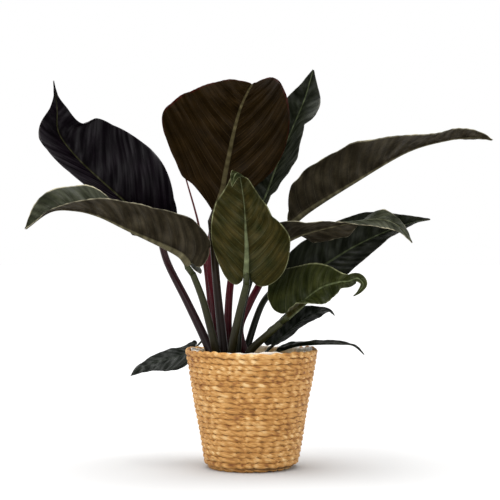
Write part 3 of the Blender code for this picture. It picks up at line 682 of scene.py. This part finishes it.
def blade_grid(leaf):
    """A blade's middle surface, fine: places, and for each its vein number, share of the half
    (left negative) and distance from the midrib in ridge half widths."""
    place, ahead, up, right = midrib_frame(leaf)
    length = np.sum(np.linalg.norm(np.diff(place, axis=0), axis=1))
    share = np.linspace(0, 1, FRAMES)
    folds = blend_rows(leaf["fold"], np.linspace(0, 1, len(leaf["fold"])), share)
    fields = np.column_stack([place, ahead, up, right, folds])
    height, waves, phase = leaf["wave"]
    veins = leaf["veins"]
    outline = leaf["outline"]
    # Rows are spread evenly over the blade, not over the outline's list
    t = np.linspace(0, 1, BLADE_ROWS)
    stretch = [share * np.abs(np.gradient(through([row[k] for row in outline], t)))
               for k, share in enumerate((0.5, 0.5, 0.25))]
    evenly = np.cumsum(np.gradient(0.1 * t) + sum(stretch))
    t = np.interp(np.linspace(evenly[0], evenly[-1], BLADE_ROWS), evenly, t)
    start, meet, out = (through([row[k] for row in outline], t) for k in range(3))
    start, out = np.clip(start, 0, 1), np.maximum(out, 0.004)
    knots = np.linspace(0, 1, len(outline))
    out = out * np.interp(meet, leaf["tail"][:2], (1, leaf["tail"][2]))
    foot = leaf["radii"][1]
    low_rows = [foot + NOTCH_CLEAR * (k + 1) if k < NOTCH_ROWS else 0 for k in range(len(outline))]
    notch = np.interp(t, knots, low_rows)
    ridge_half = RIDGE_HALF[0] * foot * (1 - RIDGE_HALF[1] * start)
    columns, across_all, rib_all, vein_all = [], [], [], []
    for side in (0, 1):
        width, lobe = leaf["half"][side], leaf["lobe"][side]
        reach = np.maximum(np.maximum(width * out, notch), TIP_HALF) * MM
        edge = meet + (1 - lobe) * LOBE * np.minimum(out / LOBE_OUT, 1) * (1 - meet) ** 2
        ridge = np.minimum(ridge_half * MM / reach, RIDGE_SHARE)
        half = []
        steps = [(ridge * c, 0) for c in RIB_COLUMNS] + [(ridge + (1 - ridge) * c, c) for c in HALF_COLUMNS]
        for across, beyond in steps:
            u = start + (edge - start) * beyond ** VEIN_BEND
            here = blend_rows(fields, share, np.clip(u, 0, 1))
            spot, fore, top, way_out = (here[:, k:k + 3] for k in (0, 3, 6, 9))
            spot = spot + fore * (np.minimum(u, 0) * length)[:, None]
            lift = np.radians(here[:, 12 + side] + 0.5 * leaf["bend"][side] * across * out)[:, None]
            way = way_out * (1 if side else -1) * np.cos(lift) + top * np.sin(lift)
            ripple = height * MM * across ** 2 * np.sin(np.pi * t)
            ripple = ripple * np.sin(2 * np.pi * (waves * t + phase + SIDE_PHASE * side))
            fine_wave = np.sin(2 * np.pi * (7.3 * t + phase + 0.21 * side))
            fine_wave = fine_wave + 0.6 * np.sin(2 * np.pi * (12.7 * t + 0.4 * phase + 0.5 * side))
            ripple = ripple + 0.3 * height * MM * across ** 4 * np.sin(np.pi * t) * fine_wave
            # A side vein leaves the midrib leaning forwards, and leans more the further out it is
            off = reach * across / length
            vein = veins * (u - leaf["lean"] * off - VEIN_CURVE * off ** 2)
            beat = np.cos(2 * np.pi * vein)
            quilt = leaf.get("quilt", 0.7) * MM * (beat + 0.35 * beat ** 3)
            quilt = quilt * np.clip((across - ridge) / 0.2, 0, 1) * (1 - 0.8 * across)
            quilt = quilt * np.minimum(1, out / 0.3) * np.clip(0.15 + start / 0.15, 0, 1)
            half.append(spot + way * (reach * across)[:, None] + top * (ripple - quilt)[:, None])
            across_all.append((side, across * (1 if side else -1)))
            rib_all.append((side, across / ridge))
            vein_all.append((side, vein))
        columns.append(half)
    middle = blend_rows(place, share, start)
    grid = np.stack(columns[0][::-1] + [middle] + columns[1], axis=1)
    marks = []
    for kept, middle_mark in ((across_all, 0 * t), (rib_all, 0 * t), (vein_all, veins * start)):
        left = [value for side, value in kept if side == 0][::-1]
        rest = [value for side, value in kept if side == 1]
        marks.append(np.stack(left + [middle_mark] + rest, axis=1))
    depth = RIDGE_DEPTH[0] * foot * (1 - RIDGE_DEPTH[1] * start)
    return grid, marks[2], marks[0], marks[1], depth


def blade_mesh(name, leaf):
    """The closed sheet: upper face, underside with the round midrib, and the rim between."""
    grid, vein, across, rib, depth = blade_grid(leaf)
    rows, columns = grid.shape[:2]
    normal = unit(np.cross(np.gradient(grid, axis=1), np.gradient(grid, axis=0)))
    upper = grid + normal * BLADE * MM / 2
    bead = np.sqrt(np.clip(1 - rib ** 2, 0, 1)) * depth[:, None] * MM
    lower = grid - normal * (BLADE * MM / 2 + bead)[..., None]
    upper = upper - normal * (np.clip(1 - rib, 0, 1) * 0.12 * depth[:, None] * MM)[..., None]
    points = np.concatenate([upper.reshape(-1, 3), lower.reshape(-1, 3)])
    count = rows * columns
    faces = []
    for r in range(rows - 1):
        for c in range(columns - 1):
            a = r * columns + c
            face = (a, a + columns, a + columns + 1, a + 1)
            faces.append(face)
            faces.append(tuple(count + i for i in reversed(face)))
    edge = list(range(columns)) + [r * columns + columns - 1 for r in range(1, rows)]
    edge += [(rows - 1) * columns + c for c in range(columns - 2, -1, -1)]
    edge += [r * columns for r in range(rows - 2, 0, -1)]
    faces += [(a, b, b + count, a + count) for a, b in zip(edge, edge[1:] + edge[:1])]
    mesh = bpy.data.meshes.new(name)
    mesh.from_pydata(points.tolist(), [], faces)
    sheet = bmesh.new()
    sheet.from_mesh(mesh)
    bmesh.ops.recalc_face_normals(sheet, faces=sheet.faces)
    sheet.to_mesh(mesh)
    sheet.free()
    under = np.concatenate([np.zeros(count), np.ones(count)])
    for key, values in (("vein", vein), ("across", across), ("rib", rib)):
        layer = mesh.attributes.new(key, "FLOAT", "POINT")
        layer.data.foreach_set("value", np.tile(values.reshape(-1), 2))
    mesh.attributes.new("under", "FLOAT", "POINT").data.foreach_set("value", under)
    mesh.shade_smooth()
    return mesh


def mix_colour(tree, share, one, other):
    """One colour blended into another, by a share from 0 to 1."""
    made = node(tree, "ShaderNodeMix", {0: share, 6: one, 7: other}, data_type="RGBA")
    return made.outputs[2]


def vein_line(tree, vein, count, wide):
    """1 on every line where vein times count is a whole number, 0 away from it."""
    shifted = node(tree, "ShaderNodeMath", {0: vein, 1: count, 2: 0.5}, operation="MULTIPLY_ADD").outputs[0]
    part = node(tree, "ShaderNodeMath", {0: shifted}, operation="FRACT").outputs[0]
    off = node(tree, "ShaderNodeMath", {0: part, 1: 0.5}, operation="SUBTRACT").outputs[0]
    off = node(tree, "ShaderNodeMath", {0: off}, operation="ABSOLUTE").outputs[0]
    return node(tree, "ShaderNodeMapRange", {0: off, 1: 0.0, 2: wide, 3: 1.0, 4: 0.0},
                interpolation_type="SMOOTHSTEP").outputs[0]


def blade_material(name, upper, upper_patch, under, under_patch, vein_hex, midrib_top, midrib_under,
                   rim_hex, rough=0.36, vein_strength=0.5, gloss=0.15):
    """Thick philodendron leaf skin: a waxy cuticle with a soft satin gloss over dark flesh. Side
    veins show as slightly lighter lines, the tissue between them is mottled, the edge is a thin
    line of its own colour, and the underside is duller and browner than the upper side. The colour
    also holds painted shade, darker towards each side vein, and painted sheen in streaks along them."""
    material, tree, shader = new_material(name)
    vein = node(tree, "ShaderNodeAttribute", attribute_name="vein").outputs["Fac"]
    across = node(tree, "ShaderNodeAttribute", attribute_name="across").outputs["Fac"]
    rib = node(tree, "ShaderNodeAttribute", attribute_name="rib").outputs["Fac"]
    below = node(tree, "ShaderNodeAttribute", attribute_name="under").outputs["Fac"]
    place = node(tree, "ShaderNodeTexCoord").outputs["Object"]
    out = node(tree, "ShaderNodeMath", {0: across}, operation="ABSOLUTE").outputs[0]
    # Mottling in patches of some 25 mm and specks of some 2 mm
    patch = node(tree, "ShaderNodeTexNoise", {"Vector": place, "Scale": 40.0, "Detail": 3.0}).outputs[0]
    speck = node(tree, "ShaderNodeTexNoise", {"Vector": place, "Scale": 500.0, "Detail": 2.0}).outputs[0]
    some = node(tree, "ShaderNodeMapRange", {0: patch, 1: 0.25, 2: 0.75}).outputs[0]
    # The two sides of the leaf, each mottled between two tones
    top_tone = ramp(tree, some, (0.0, upper), (1.0, upper_patch))
    low_tone = ramp(tree, some, (0.0, under), (1.0, under_patch))
    skin = mix_colour(tree, below, top_tone, low_tone)
    # Side veins: a line at each whole vein number, fading towards the edge, and finer ones between
    line = vein_line(tree, vein, 1.0, 0.035)
    fine = vein_line(tree, vein, 6.0, 0.12)
    inner = node(tree, "ShaderNodeMapRange", {0: out, 1: 0.55, 2: 1.0, 3: 1.0, 4: 0.25}).outputs[0]
    line = node(tree, "ShaderNodeMath", {0: line, 1: inner}, operation="MULTIPLY").outputs[0]
    shown = node(tree, "ShaderNodeMath", {0: line, 1: vein_strength}, operation="MULTIPLY").outputs[0]
    shown = node(tree, "ShaderNodeMath", {0: fine, 1: 0.16 * vein_strength, 2: shown},
                 operation="MULTIPLY_ADD").outputs[0]
    skin = mix_colour(tree, shown, skin, linear(vein_hex))
    # Midrib: a broad round one below, a narrow pale line above
    stout = node(tree, "ShaderNodeMapRange", {0: rib, 1: 0.5, 2: 0.85, 3: 1.0, 4: 0.0}).outputs[0]
    narrow = node(tree, "ShaderNodeMapRange", {0: rib, 1: 0.35, 2: 0.75, 3: 0.9, 4: 0.0}).outputs[0]
    stout = node(tree, "ShaderNodeMath", {0: stout, 1: below}, operation="MULTIPLY").outputs[0]
    skin = mix_colour(tree, narrow, skin, mix_colour(tree, below, linear(midrib_top), linear(midrib_under)))
    skin = mix_colour(tree, stout, skin, linear(midrib_under))
    rim = node(tree, "ShaderNodeMapRange", {0: out, 1: 0.972, 2: 0.99}).outputs[0]
    worn = node(tree, "ShaderNodeMapRange", {0: patch, 1: 0.38, 2: 0.58, 3: 0.15, 4: 1.0}).outputs[0]
    rim = node(tree, "ShaderNodeMath", {0: rim, 1: worn}, operation="MULTIPLY").outputs[0]
    skin = mix_colour(tree, rim, skin, linear(rim_hex))
    light = node(tree, "ShaderNodeMapRange", {0: speck, 1: 0.3, 2: 0.7, 3: 0.86, 4: 1.14}).outputs[0]
    # Painted shade: each pleat between two side veins is coloured a little darker towards the veins, where
    # its grooves are
    beat = node(tree, "ShaderNodeMath", {0: vein, 1: 2 * math.pi}, operation="MULTIPLY").outputs[0]
    beat = node(tree, "ShaderNodeMath", {0: beat}, operation="COSINE").outputs[0]
    beat = node(tree, "ShaderNodeMath", {0: beat, 1: -0.2, 2: 1.0}, operation="MULTIPLY_ADD").outputs[0]
    light = node(tree, "ShaderNodeMath", {0: light, 1: beat}, operation="MULTIPLY").outputs[0]
    # Streaks run with the side veins, about a vein's spacing wide: lighter ones shine more. They also
    # make the colour lighter and darker, as painted sheen and painted shade.
    strip = node(tree, "ShaderNodeCombineXYZ", {0: vein, 1: across}).outputs[0]
    strip = node(tree, "ShaderNodeMapping", {"Vector": strip, "Scale": (0.9, 1.6, 1.0)}).outputs[0]
    streak = node(tree, "ShaderNodeTexNoise", {"Vector": strip, "Scale": 1.0, "Detail": 2.0}).outputs[0]
    streak = node(tree, "ShaderNodeMapRange", {0: streak, 1: 0.34, 2: 0.66}).outputs[0]
    tone = node(tree, "ShaderNodeMapRange", {0: streak, 3: 0.66, 4: 1.35}).outputs[0]
    light = node(tree, "ShaderNodeMath", {0: light, 1: tone}, operation="MULTIPLY").outputs[0]
    # The colour is scaled by the random specks, the painted pleat shade and the painted sheen streaks
    skin = node(tree, "ShaderNodeVectorMath", {0: skin, "Scale": light}, operation="SCALE").outputs[0]
    tree.links.new(skin, shader.inputs["Base Color"])
    dull = node(tree, "ShaderNodeMapRange", {0: below, 3: rough, 4: rough + 0.12}).outputs[0]
    dull = node(tree, "ShaderNodeMath", {0: speck, 1: 0.12, 2: dull}, operation="MULTIPLY_ADD").outputs[0]
    tree.links.new(dull, shader.inputs["Roughness"])
    shader.inputs["IOR"].default_value = 1.42
    shine = node(tree, "ShaderNodeMath", {0: streak, 1: 2.0}, operation="POWER").outputs[0]
    shine = node(tree, "ShaderNodeMapRange", {0: shine, 3: 0.3 * gloss, 4: 2.6 * gloss}).outputs[0]
    tree.links.new(shine, shader.inputs["Specular IOR Level"])
    relief = node(tree, "ShaderNodeMath", {0: fine, 1: 0.3, 2: line}, operation="MULTIPLY_ADD").outputs[0]
    relief = node(tree, "ShaderNodeMath", {0: speck, 1: 0.25, 2: relief}, operation="MULTIPLY_ADD").outputs[0]
    bump = node(tree, "ShaderNodeBump", {"Height": relief, "Strength": 0.35, "Distance": 0.0008})
    tree.links.new(bump.outputs[0], shader.inputs["Normal"])
    return material


leaf_skins = {
    "leaf_purple_black": blade_material("purple_black_leaf_skin", "#040204", "#0D070D", "#120A0A", "#1A0F0F",
                                        "#231A22", "#30301A", "#33301E", "#0E0708", 0.34, 0.5, 0.1),
    "leaf_dark_brown": blade_material("dark_brown_leaf_skin", "#100C07", "#18120B", "#140C03", "#261A08",
                                      "#5A4726", "#403A22", "#4C452E", "#3A1410", 0.42, 0.7, 0.06),
    "leaf_grey_brown": blade_material("grey_brown_leaf_skin", "#1B1F14", "#2D2F21", "#201B12", "#363023",
                                      "#514B3A", "#4F5038", "#544F3A", "#8C8670", 0.45, 0.5, 0.08),
    "leaf_grey_green": blade_material("grey_green_leaf_skin", "#0B0E07", "#1B1E12", "#191911", "#24241A",
                                      "#343A2C", "#454C34", "#4E5238", "#3A372E", 0.4, 0.5, 0.1),
    "leaf_olive": blade_material("olive_leaf_skin", "#131905", "#2C2F12", "#1D2009", "#383013",
                                 "#5B5F36", "#50573A", "#5C6246", "#80825F", 0.40, 0.7, 0.08),
    "leaf_deep_green": blade_material("deep_green_leaf_skin", "#040802", "#0B1106", "#0C120A", "#151B10",
                                      "#1E2618", "#242C1C", "#262C1C", "#1A1812", 0.38, 0.4, 0.08),
}


def grow_leaf(leaf):
    """One whole leaf: its stalk and its blade."""
    grow_stalk(leaf)
    name = "blade_" + leaf["name"]
    mesh = blade_mesh(name + "_skin", leaf)
    mesh.materials.append(leaf_skins[leaf.get("skin", leaf["slot"])])
    place_piece(name + "_skin", mesh, leaf["slot"], name)


# Upper left leaf.
# Purple-black and the glossiest, with its upper side to the front. It is folded up along its
# lower left half, and its long drip tip stands straight up.
grow_leaf(dict(
    name="upper_left", outline=HEART, slot="leaf_purple_black", stalk_slot="stalk_purple", radii=(8.5, 6.0),
    stalk=[(-66, 12, 176), (-72, 17, 200), (-110, 40, 277), (-146, 68, 345)],
    midrib=[(-175, 92, 407), (-222, 98, 451), (-266, 104, 490), (-311, 106, 533), (-342, 104, 576),
        (-344, 98, 620), (-349, 90, 667)],
    half=(86, 101),
    face=[(0.1, -0.97, 0.1), (0.15, -0.97, 0.15), (0, -1, 0)],
    fold=[(64, 45), (66, 5), (56, 5), (20, 20)],
    bend=(0, 0), wave=(3, 3, 0.1), lobe=(0.7, 1), tail=(0.72, 0.92, 0.2),
    veins=24, lean=0.8, quilt=1.1))


# Lower left leaf.
# Folded along its midrib like a gutter: the far half shows its grey-green upper side and the near
# half its brown-grey underside. It arches over and reaches furthest left.
grow_leaf(dict(
    name="lower_left", outline=HEART, slot="leaf_grey_brown", stalk_slot="stalk_olive", radii=(8.0, 5.5),
    stalk=[(-55, -14, 176), (-60, -18, 201), (-80, -26, 279)],
    midrib=[(-104, -35, 343), (-118, -39, 361), (-150, -48, 379), (-201, -60, 403), (-250, -70, 426),
        (-291, -76, 435), (-331, -80, 432), (-372, -82, 402)],
    half=(64, 80),
    face=[(0.3, 0.25, 0.9), (0.2, 0.2, 1), (-0.2, 0, 1)],
    fold=[(84, 35), (32, 5), (5, 60), (-10, 70)],
    bend=(10, 0), wave=(3, 3, 0.3), lobe=(0.6, 1), tail=(0.6, 0.9, 1),
    veins=22, lean=0.5, quilt=1.0))


# Tall centre leaf.
# The largest and broadest, its dark brown underside to the front. Past the middle it nods towards
# the viewer, and a fold runs in from its top edge beside the midrib.
grow_leaf(dict(
    name="tall_centre", outline=WEDGE, slot="leaf_dark_brown", stalk_slot="stalk_crimson", radii=(8.5, 6.0),
    stalk=[(-47, 3, 176), (-48, 4, 206), (-58, 6, 300), (-64, 8, 375)],
    midrib=[(-62, 9, 434), (-50, 9, 468), (-45, 6, 495), (-38, -6, 531), (-29, -28, 573),
        (-19, -60, 605), (-7, -100, 626), (1, -145, 633)],
    half=(104, 122),
    face=[(0, 1, 0.1), (0, 0.95, 0.3), (0, 0.6, 0.8), (0, 0.15, 1)],
    fold=[(5, 15), (6, 15), (8, 13), (13, 7), (17, 0), (23, -5), (27, -4), (31, 7), (36, 27)],
    bend=(10, 10), wave=(3, 2, 0.0), lobe=(0.2, 1), tail=(0.6, 0.9, 1),
    veins=18, lean=0.8, quilt=0.7, stalk_skin="stalk_black_brown"))


# Tall right leaf.
# Stands nearly upright behind the tall centre one, with its grey-green upper side and pale
# midrib to the front.
grow_leaf(dict(
    name="tall_right", outline=HEART, slot="leaf_grey_green", stalk_slot="stalk_crimson", radii=(8.0, 5.5),
    stalk=[(-36, 28, 176), (-40, 31, 248), (-32, 46, 333), (-8, 78, 400)],
    midrib=[(15, 100, 441), (27, 106, 466), (48, 112, 524), (75, 114, 588), (95, 112, 637),
        (110, 108, 689)],
    half=(56, 70),
    face=[(-0.5, -0.8, 0.3), (-0.3, -0.9, 0.3), (-0.2, -0.95, 0.2)],
    fold=[(15, 50), (15, 44), (15, 40), (15, 42), (15, 48), (15, 52), (12, 24), (10, -8), (10, -10)],
    bend=(0, 0), wave=(6, 3, 0.6), lobe=(0.6, 0.6), tail=(0.78, 0.92, 0.8),
    veins=16, lean=0.7, quilt=1.2))


# Front centre leaf.
# Upright in front of the others, its olive underside and thick pale midrib to the viewer. The tip
# is folded over forwards.
grow_leaf(dict(
    name="front_centre", outline=HEART, slot="leaf_olive", stalk_slot="stalk_olive", radii=(8.5, 5.5),
    stalk=[(-34, -36, 176), (-31, -40, 209), (-20, -52, 262)],
    midrib=[(-8, -62, 327), (-7, -66, 360), (-8, -70, 394), (-9, -76, 434), (-13, -86, 466),
        (-19, -98, 492), (-27, -108, 490), (-32, -112, 470)],
    half=(72, 62),
    face=[(0, 1, 0.1), (0, 1, 0.1), (0.1, 0.95, 0.2), (-0.2, -0.5, 0.9)],
    fold=[(0, 30), (-3, 15), (-48, 5), (-50, 15), (-30, 30)],
    bend=(0, 10), wave=(3, 2, 0.2), lobe=(1, 1), tail=(0.6, 0.9, 0.4),
    veins=14, lean=0.7, quilt=0.8))


# Long right leaf.
# A long leaf folded up along its midrib, so that its near half's brown-grey, strongly pleated
# underside shows. It arches out and reaches furthest right.
grow_leaf(dict(
    name="long_right", outline=HEART, slot="leaf_grey_brown", stalk_slot="stalk_crimson", radii=(8.0, 5.5),
    stalk=[(-7, 10, 178), (-20, 12, 231), (-4, 16, 274), (20, 24, 320), (46, 35, 377)],
    midrib=[(63, 42, 411), (100, 48, 441), (172, 60, 486), (271, 76, 542), (346, 86, 563),
        (396, 90, 567), (426, 92, 562)],
    half=(70, 82),
    face=[(-0.5, 0.35, 0.8), (-0.4, 0.3, 0.9), (-0.1, 0.3, 1)],
    fold=[(55, 60), (45, 24), (30, -2), (10, 14)],
    bend=(0, 0), wave=(5, 3, 0.25), lobe=(-0.8, -0.6), tail=(0.6, 0.9, 1),
    veins=25, lean=0.1, quilt=1.6))


# Front right leaf.
# A shorter, pleated olive leaf low at the front, with its tip drawn out and curled like a
# corkscrew.
grow_leaf(dict(
    name="front_right", outline=HEART, slot="leaf_olive", stalk_slot="stalk_olive", radii=(8.0, 5.5),
    stalk=[(-8, -26, 176), (0, -28, 200), (30, -40, 229)],
    midrib=[(59, -50, 259), (79, -58, 276), (112, -72, 304), (141, -88, 315), (158, -100, 317),
        (172, -106, 322), (181, -110, 313), (174, -113, 301), (165, -112, 293)],
    half=(96, 70),
    face=[(-0.4, -0.75, 0.5), (-0.25, -0.65, 0.7), (0, -0.7, 0.6), (0.5, -0.7, 0)],
    fold=[(5, 62), (5, 48), (15, -10), (20, -20), (10, 10)],
    bend=(0, 0), wave=(3, 3, 0.5), lobe=(1.0, -0.6), tail=(0.12, 0.62, 0.2),
    veins=16, lean=0.2, quilt=1.3))


# Near leaf on the right.
# A narrow brown leaf with light rims, folded at its base, that twists over near its tip.
grow_leaf(dict(
    name="right_near", outline=HEART, slot="leaf_dark_brown", stalk_slot="stalk_dark_green", radii=(7.5, 5.0),
    stalk=[(-25, -12, 176), (-19, -13, 249), (-2, -16, 317), (15, -20, 350)],
    midrib=[(38, -22, 376), (82, -26, 397), (132, -30, 410), (182, -34, 418), (224, -36, 418),
        (252, -38, 403), (269, -38, 380)],
    half=(58, 60),
    face=[(-0.3, 0.1, 0.95), (-0.1, 0, 1), (0, -0.2, 1)],
    fold=[(50, 38), (-20, 8), (-30, 0), (25, -15), (10, -15)],
    bend=(0, 0), wave=(2, 2, 0.0), lobe=(0.7, 0.7), tail=(0.6, 0.9, 1),
    veins=16, lean=0.5, quilt=1.0, skin="leaf_grey_brown"))


# Far leaf on the right.
# A dark green leaf behind the near one, its upper side facing forwards and up.
grow_leaf(dict(
    name="right_far", outline=HEART, slot="leaf_grey_green", stalk_slot="stalk_dark_green", radii=(7.0, 5.0),
    stalk=[(-13, 29, 176), (-6, 30, 204), (18, 38, 273), (46, 52, 304)],
    midrib=[(89, 66, 325), (131, 70, 344), (170, 72, 368), (207, 74, 387), (244, 76, 403),
        (286, 76, 417), (314, 76, 422)],
    half=(60, 52),
    face=[(-0.3, -0.85, 0.45), (-0.3, -0.85, 0.45), (-0.2, -0.8, 0.6)],
    fold=[(10, 10), (10, 20), (10, 40), (10, 40)],
    bend=(0, 0), wave=(3, 3, 0.2), lobe=(1, 1), tail=(0.6, 0.9, 0.7),
    veins=16, lean=0.5, quilt=1.0))


# Low leaf on the right.
# A small deep green leaf that leans out just above the rim.
grow_leaf(dict(
    name="low_right", outline=HEART, slot="leaf_deep_green", stalk_slot="stalk_dark_green", radii=(4.0, 2.5),
    stalk=[(18, 20, 176), (22, 21, 187)],
    midrib=[(35, 28, 204), (58, 34, 222), (84, 42, 244), (110, 50, 257), (133, 54, 263),
        (145, 58, 254)],
    half=(35, 34),
    face=[(-0.3, -0.5, 0.8), (-0.3, -0.5, 0.8)],
    fold=[(15, 30), (15, 5)],
    bend=(0, 0), wave=(2, 3, 0.2), lobe=(0.6, 0.6), tail=(0.6, 0.9, 0.6),
    veins=12, lean=0.6, quilt=0.6))


# Low leaf on the left.
# A small deep green leaf on a thin wiry stalk that arches over the rim, so the blade hangs down
# outside the basket.
grow_leaf(dict(
    name="low_left", outline=HEART, slot="leaf_deep_green", stalk_slot="stalk_dark_green", radii=(3.0, 1.6),
    stalk=[(-58, 64, 176), (-72, 68, 202), (-83, 78, 210)],
    midrib=[(-100, 97, 197), (-119, 100, 184), (-143, 100, 176), (-170, 96, 169), (-195, 88, 160),
        (-212, 80, 147)],
    half=(40, 30),
    face=[(0, -0.5, 0.85), (0, -0.5, 0.85)],
    fold=[(5, -5), (5, -5)],
    bend=(0, 0), wave=(2, 3, 0.2), lobe=(0.6, 0.6), tail=(0.6, 0.9, 0.8),
    veins=12, lean=0.6, quilt=0.5))


# Leaf over the right of the rim.
# A small deep green leaf, seen nearly edge-on, that lies out over the rim.
grow_leaf(dict(
    name="rim_right", outline=HEART, slot="leaf_deep_green", stalk_slot="stalk_dark_green", radii=(3.5, 2.2),
    stalk=[(20, -18, 176), (30, -20, 188)],
    midrib=[(50, -25, 201), (76, -23, 208), (113, -16, 210), (150, -8, 209), (173, -4, 206),
        (192, 0, 190)],
    half=(24, 26),
    face=[(-0.2, 0, 1), (0, 0, 1)],
    fold=[(12, 12), (12, 12)],
    bend=(0, 0), wave=(1.5, 3, 0.2), lobe=(0.6, 0.6), tail=(0.6, 0.9, 0.8),
    veins=12, lean=0.6, quilt=0.5))


# Back leaf.
# The one leaf that the photograph hides: a crimson stalk goes up behind the tall centre leaf, and
# its blade arches to the back.
grow_leaf(dict(
    name="back", outline=HEART, slot="leaf_grey_green", stalk_slot="stalk_crimson", radii=(8.0, 5.5),
    stalk=[(-51, 48, 176), (-62, 56, 247), (-75, 80, 333), (-70, 105, 400)],
    midrib=[(-58, 132, 475), (-54, 152, 515), (-50, 186, 548), (-46, 226, 558), (-42, 262, 545),
        (-39, 288, 519)],
    half=(50, 50),
    face=[(0, -0.95, 0.3), (0, -0.3, 0.95), (0, 0.4, 0.9)],
    fold=[(15, 15), (15, 15), (10, 10)],
    bend=(0, 0), wave=(3, 3, 0.2), lobe=(1, 1), tail=(0.6, 0.9, 1),
    veins=16, lean=0.6, quilt=1.0))


# New leaf.
# The next leaf, still rolled up tight inside itself: a thin dark red spear that tapers to a point,
# with a groove along it for the free edge of the roll.
SPEAR = [(-66, 36, 176), (-74, 37, 282), (-83, 38, 359), (-92, 40, 416), (-114, 44, 494)]
spear_line = smooth_line([(SPEAR[0][0], SPEAR[0][1], STALK_FOOT)] + SPEAR, 90)
spear_mesh = tube_mesh("new_leaf_roll", spear_line, (4.0, 1.4), 0.22)
spear_mesh.materials.append(stalk_material("rolled_leaf_skin", "#2E0F12", "#4A161C", "#5E2022", 0.3))
place_piece("new_leaf_roll", spear_mesh, "stalk_purple", "new_leaf")


# Studio.
# A white floor without end, an even white surround, a broad soft light overhead that gives the
# floor its soft shadow, and a weak round one at the front left, as for a catalogue picture.
floor_mesh = bpy.data.meshes.new("floor")
floor_mesh.from_pydata([(-30, -30, 0), (30, -30, 0), (30, 30, 0), (-30, 30, 0)], [], [(0, 1, 2, 3)])
floor = bpy.data.objects.new("floor", floor_mesh)
bpy.context.scene.collection.objects.link(floor)
paper, paper_tree, paper_shader = new_material("white_paper_sweep")
paper_shader.inputs["Base Color"].default_value = linear("#BFBFBF")
paper_shader.inputs["Roughness"].default_value = 0.9
paper_shader.inputs["Specular IOR Level"].default_value = 0.0
floor_mesh.materials.append(paper)

world = bpy.data.worlds.new("white_surround")
world.use_nodes = True
world.node_tree.nodes["Background"].inputs[0].default_value = (1, 1, 1, 1)
world.node_tree.nodes["Background"].inputs[1].default_value = 1.0
bpy.context.scene.world = world


def lamp(name, kind, place, aim, energy, **settings):
    light = bpy.data.lights.new(name, kind)
    light.energy = energy
    for key, value in settings.items():
        setattr(light, key, value)
    holder = bpy.data.objects.new(name, light)
    bpy.context.scene.collection.objects.link(holder)
    holder.location = place
    holder.rotation_euler = (Vector(aim) - Vector(place)).to_track_quat("-Z", "Y").to_euler()


lamp("overhead", "SUN", (-0.1, 0.15, 2), (0, 0, 0.4), 4.2, angle=math.radians(55))
lamp("key", "AREA", (-1.2, -1.7, 1.5), (0, 0, 0.4), 9, shape="DISK", size=1.6)

# The lens and place that give the photograph's proportions: 1.7 mm to a pixel at the basket
camera = bpy.data.cameras.new("camera")
camera.sensor_width = 36
camera.lens = 18 * 2400 / 425
eye = bpy.data.objects.new("camera", camera)
eye.location = (-0.0025, -2.4, 0.368)
eye.rotation_euler = (math.pi / 2, 0, 0)
bpy.context.scene.collection.objects.link(eye)
bpy.context.scene.camera = eye
bpy.context.scene.view_settings.view_transform = "Standard"
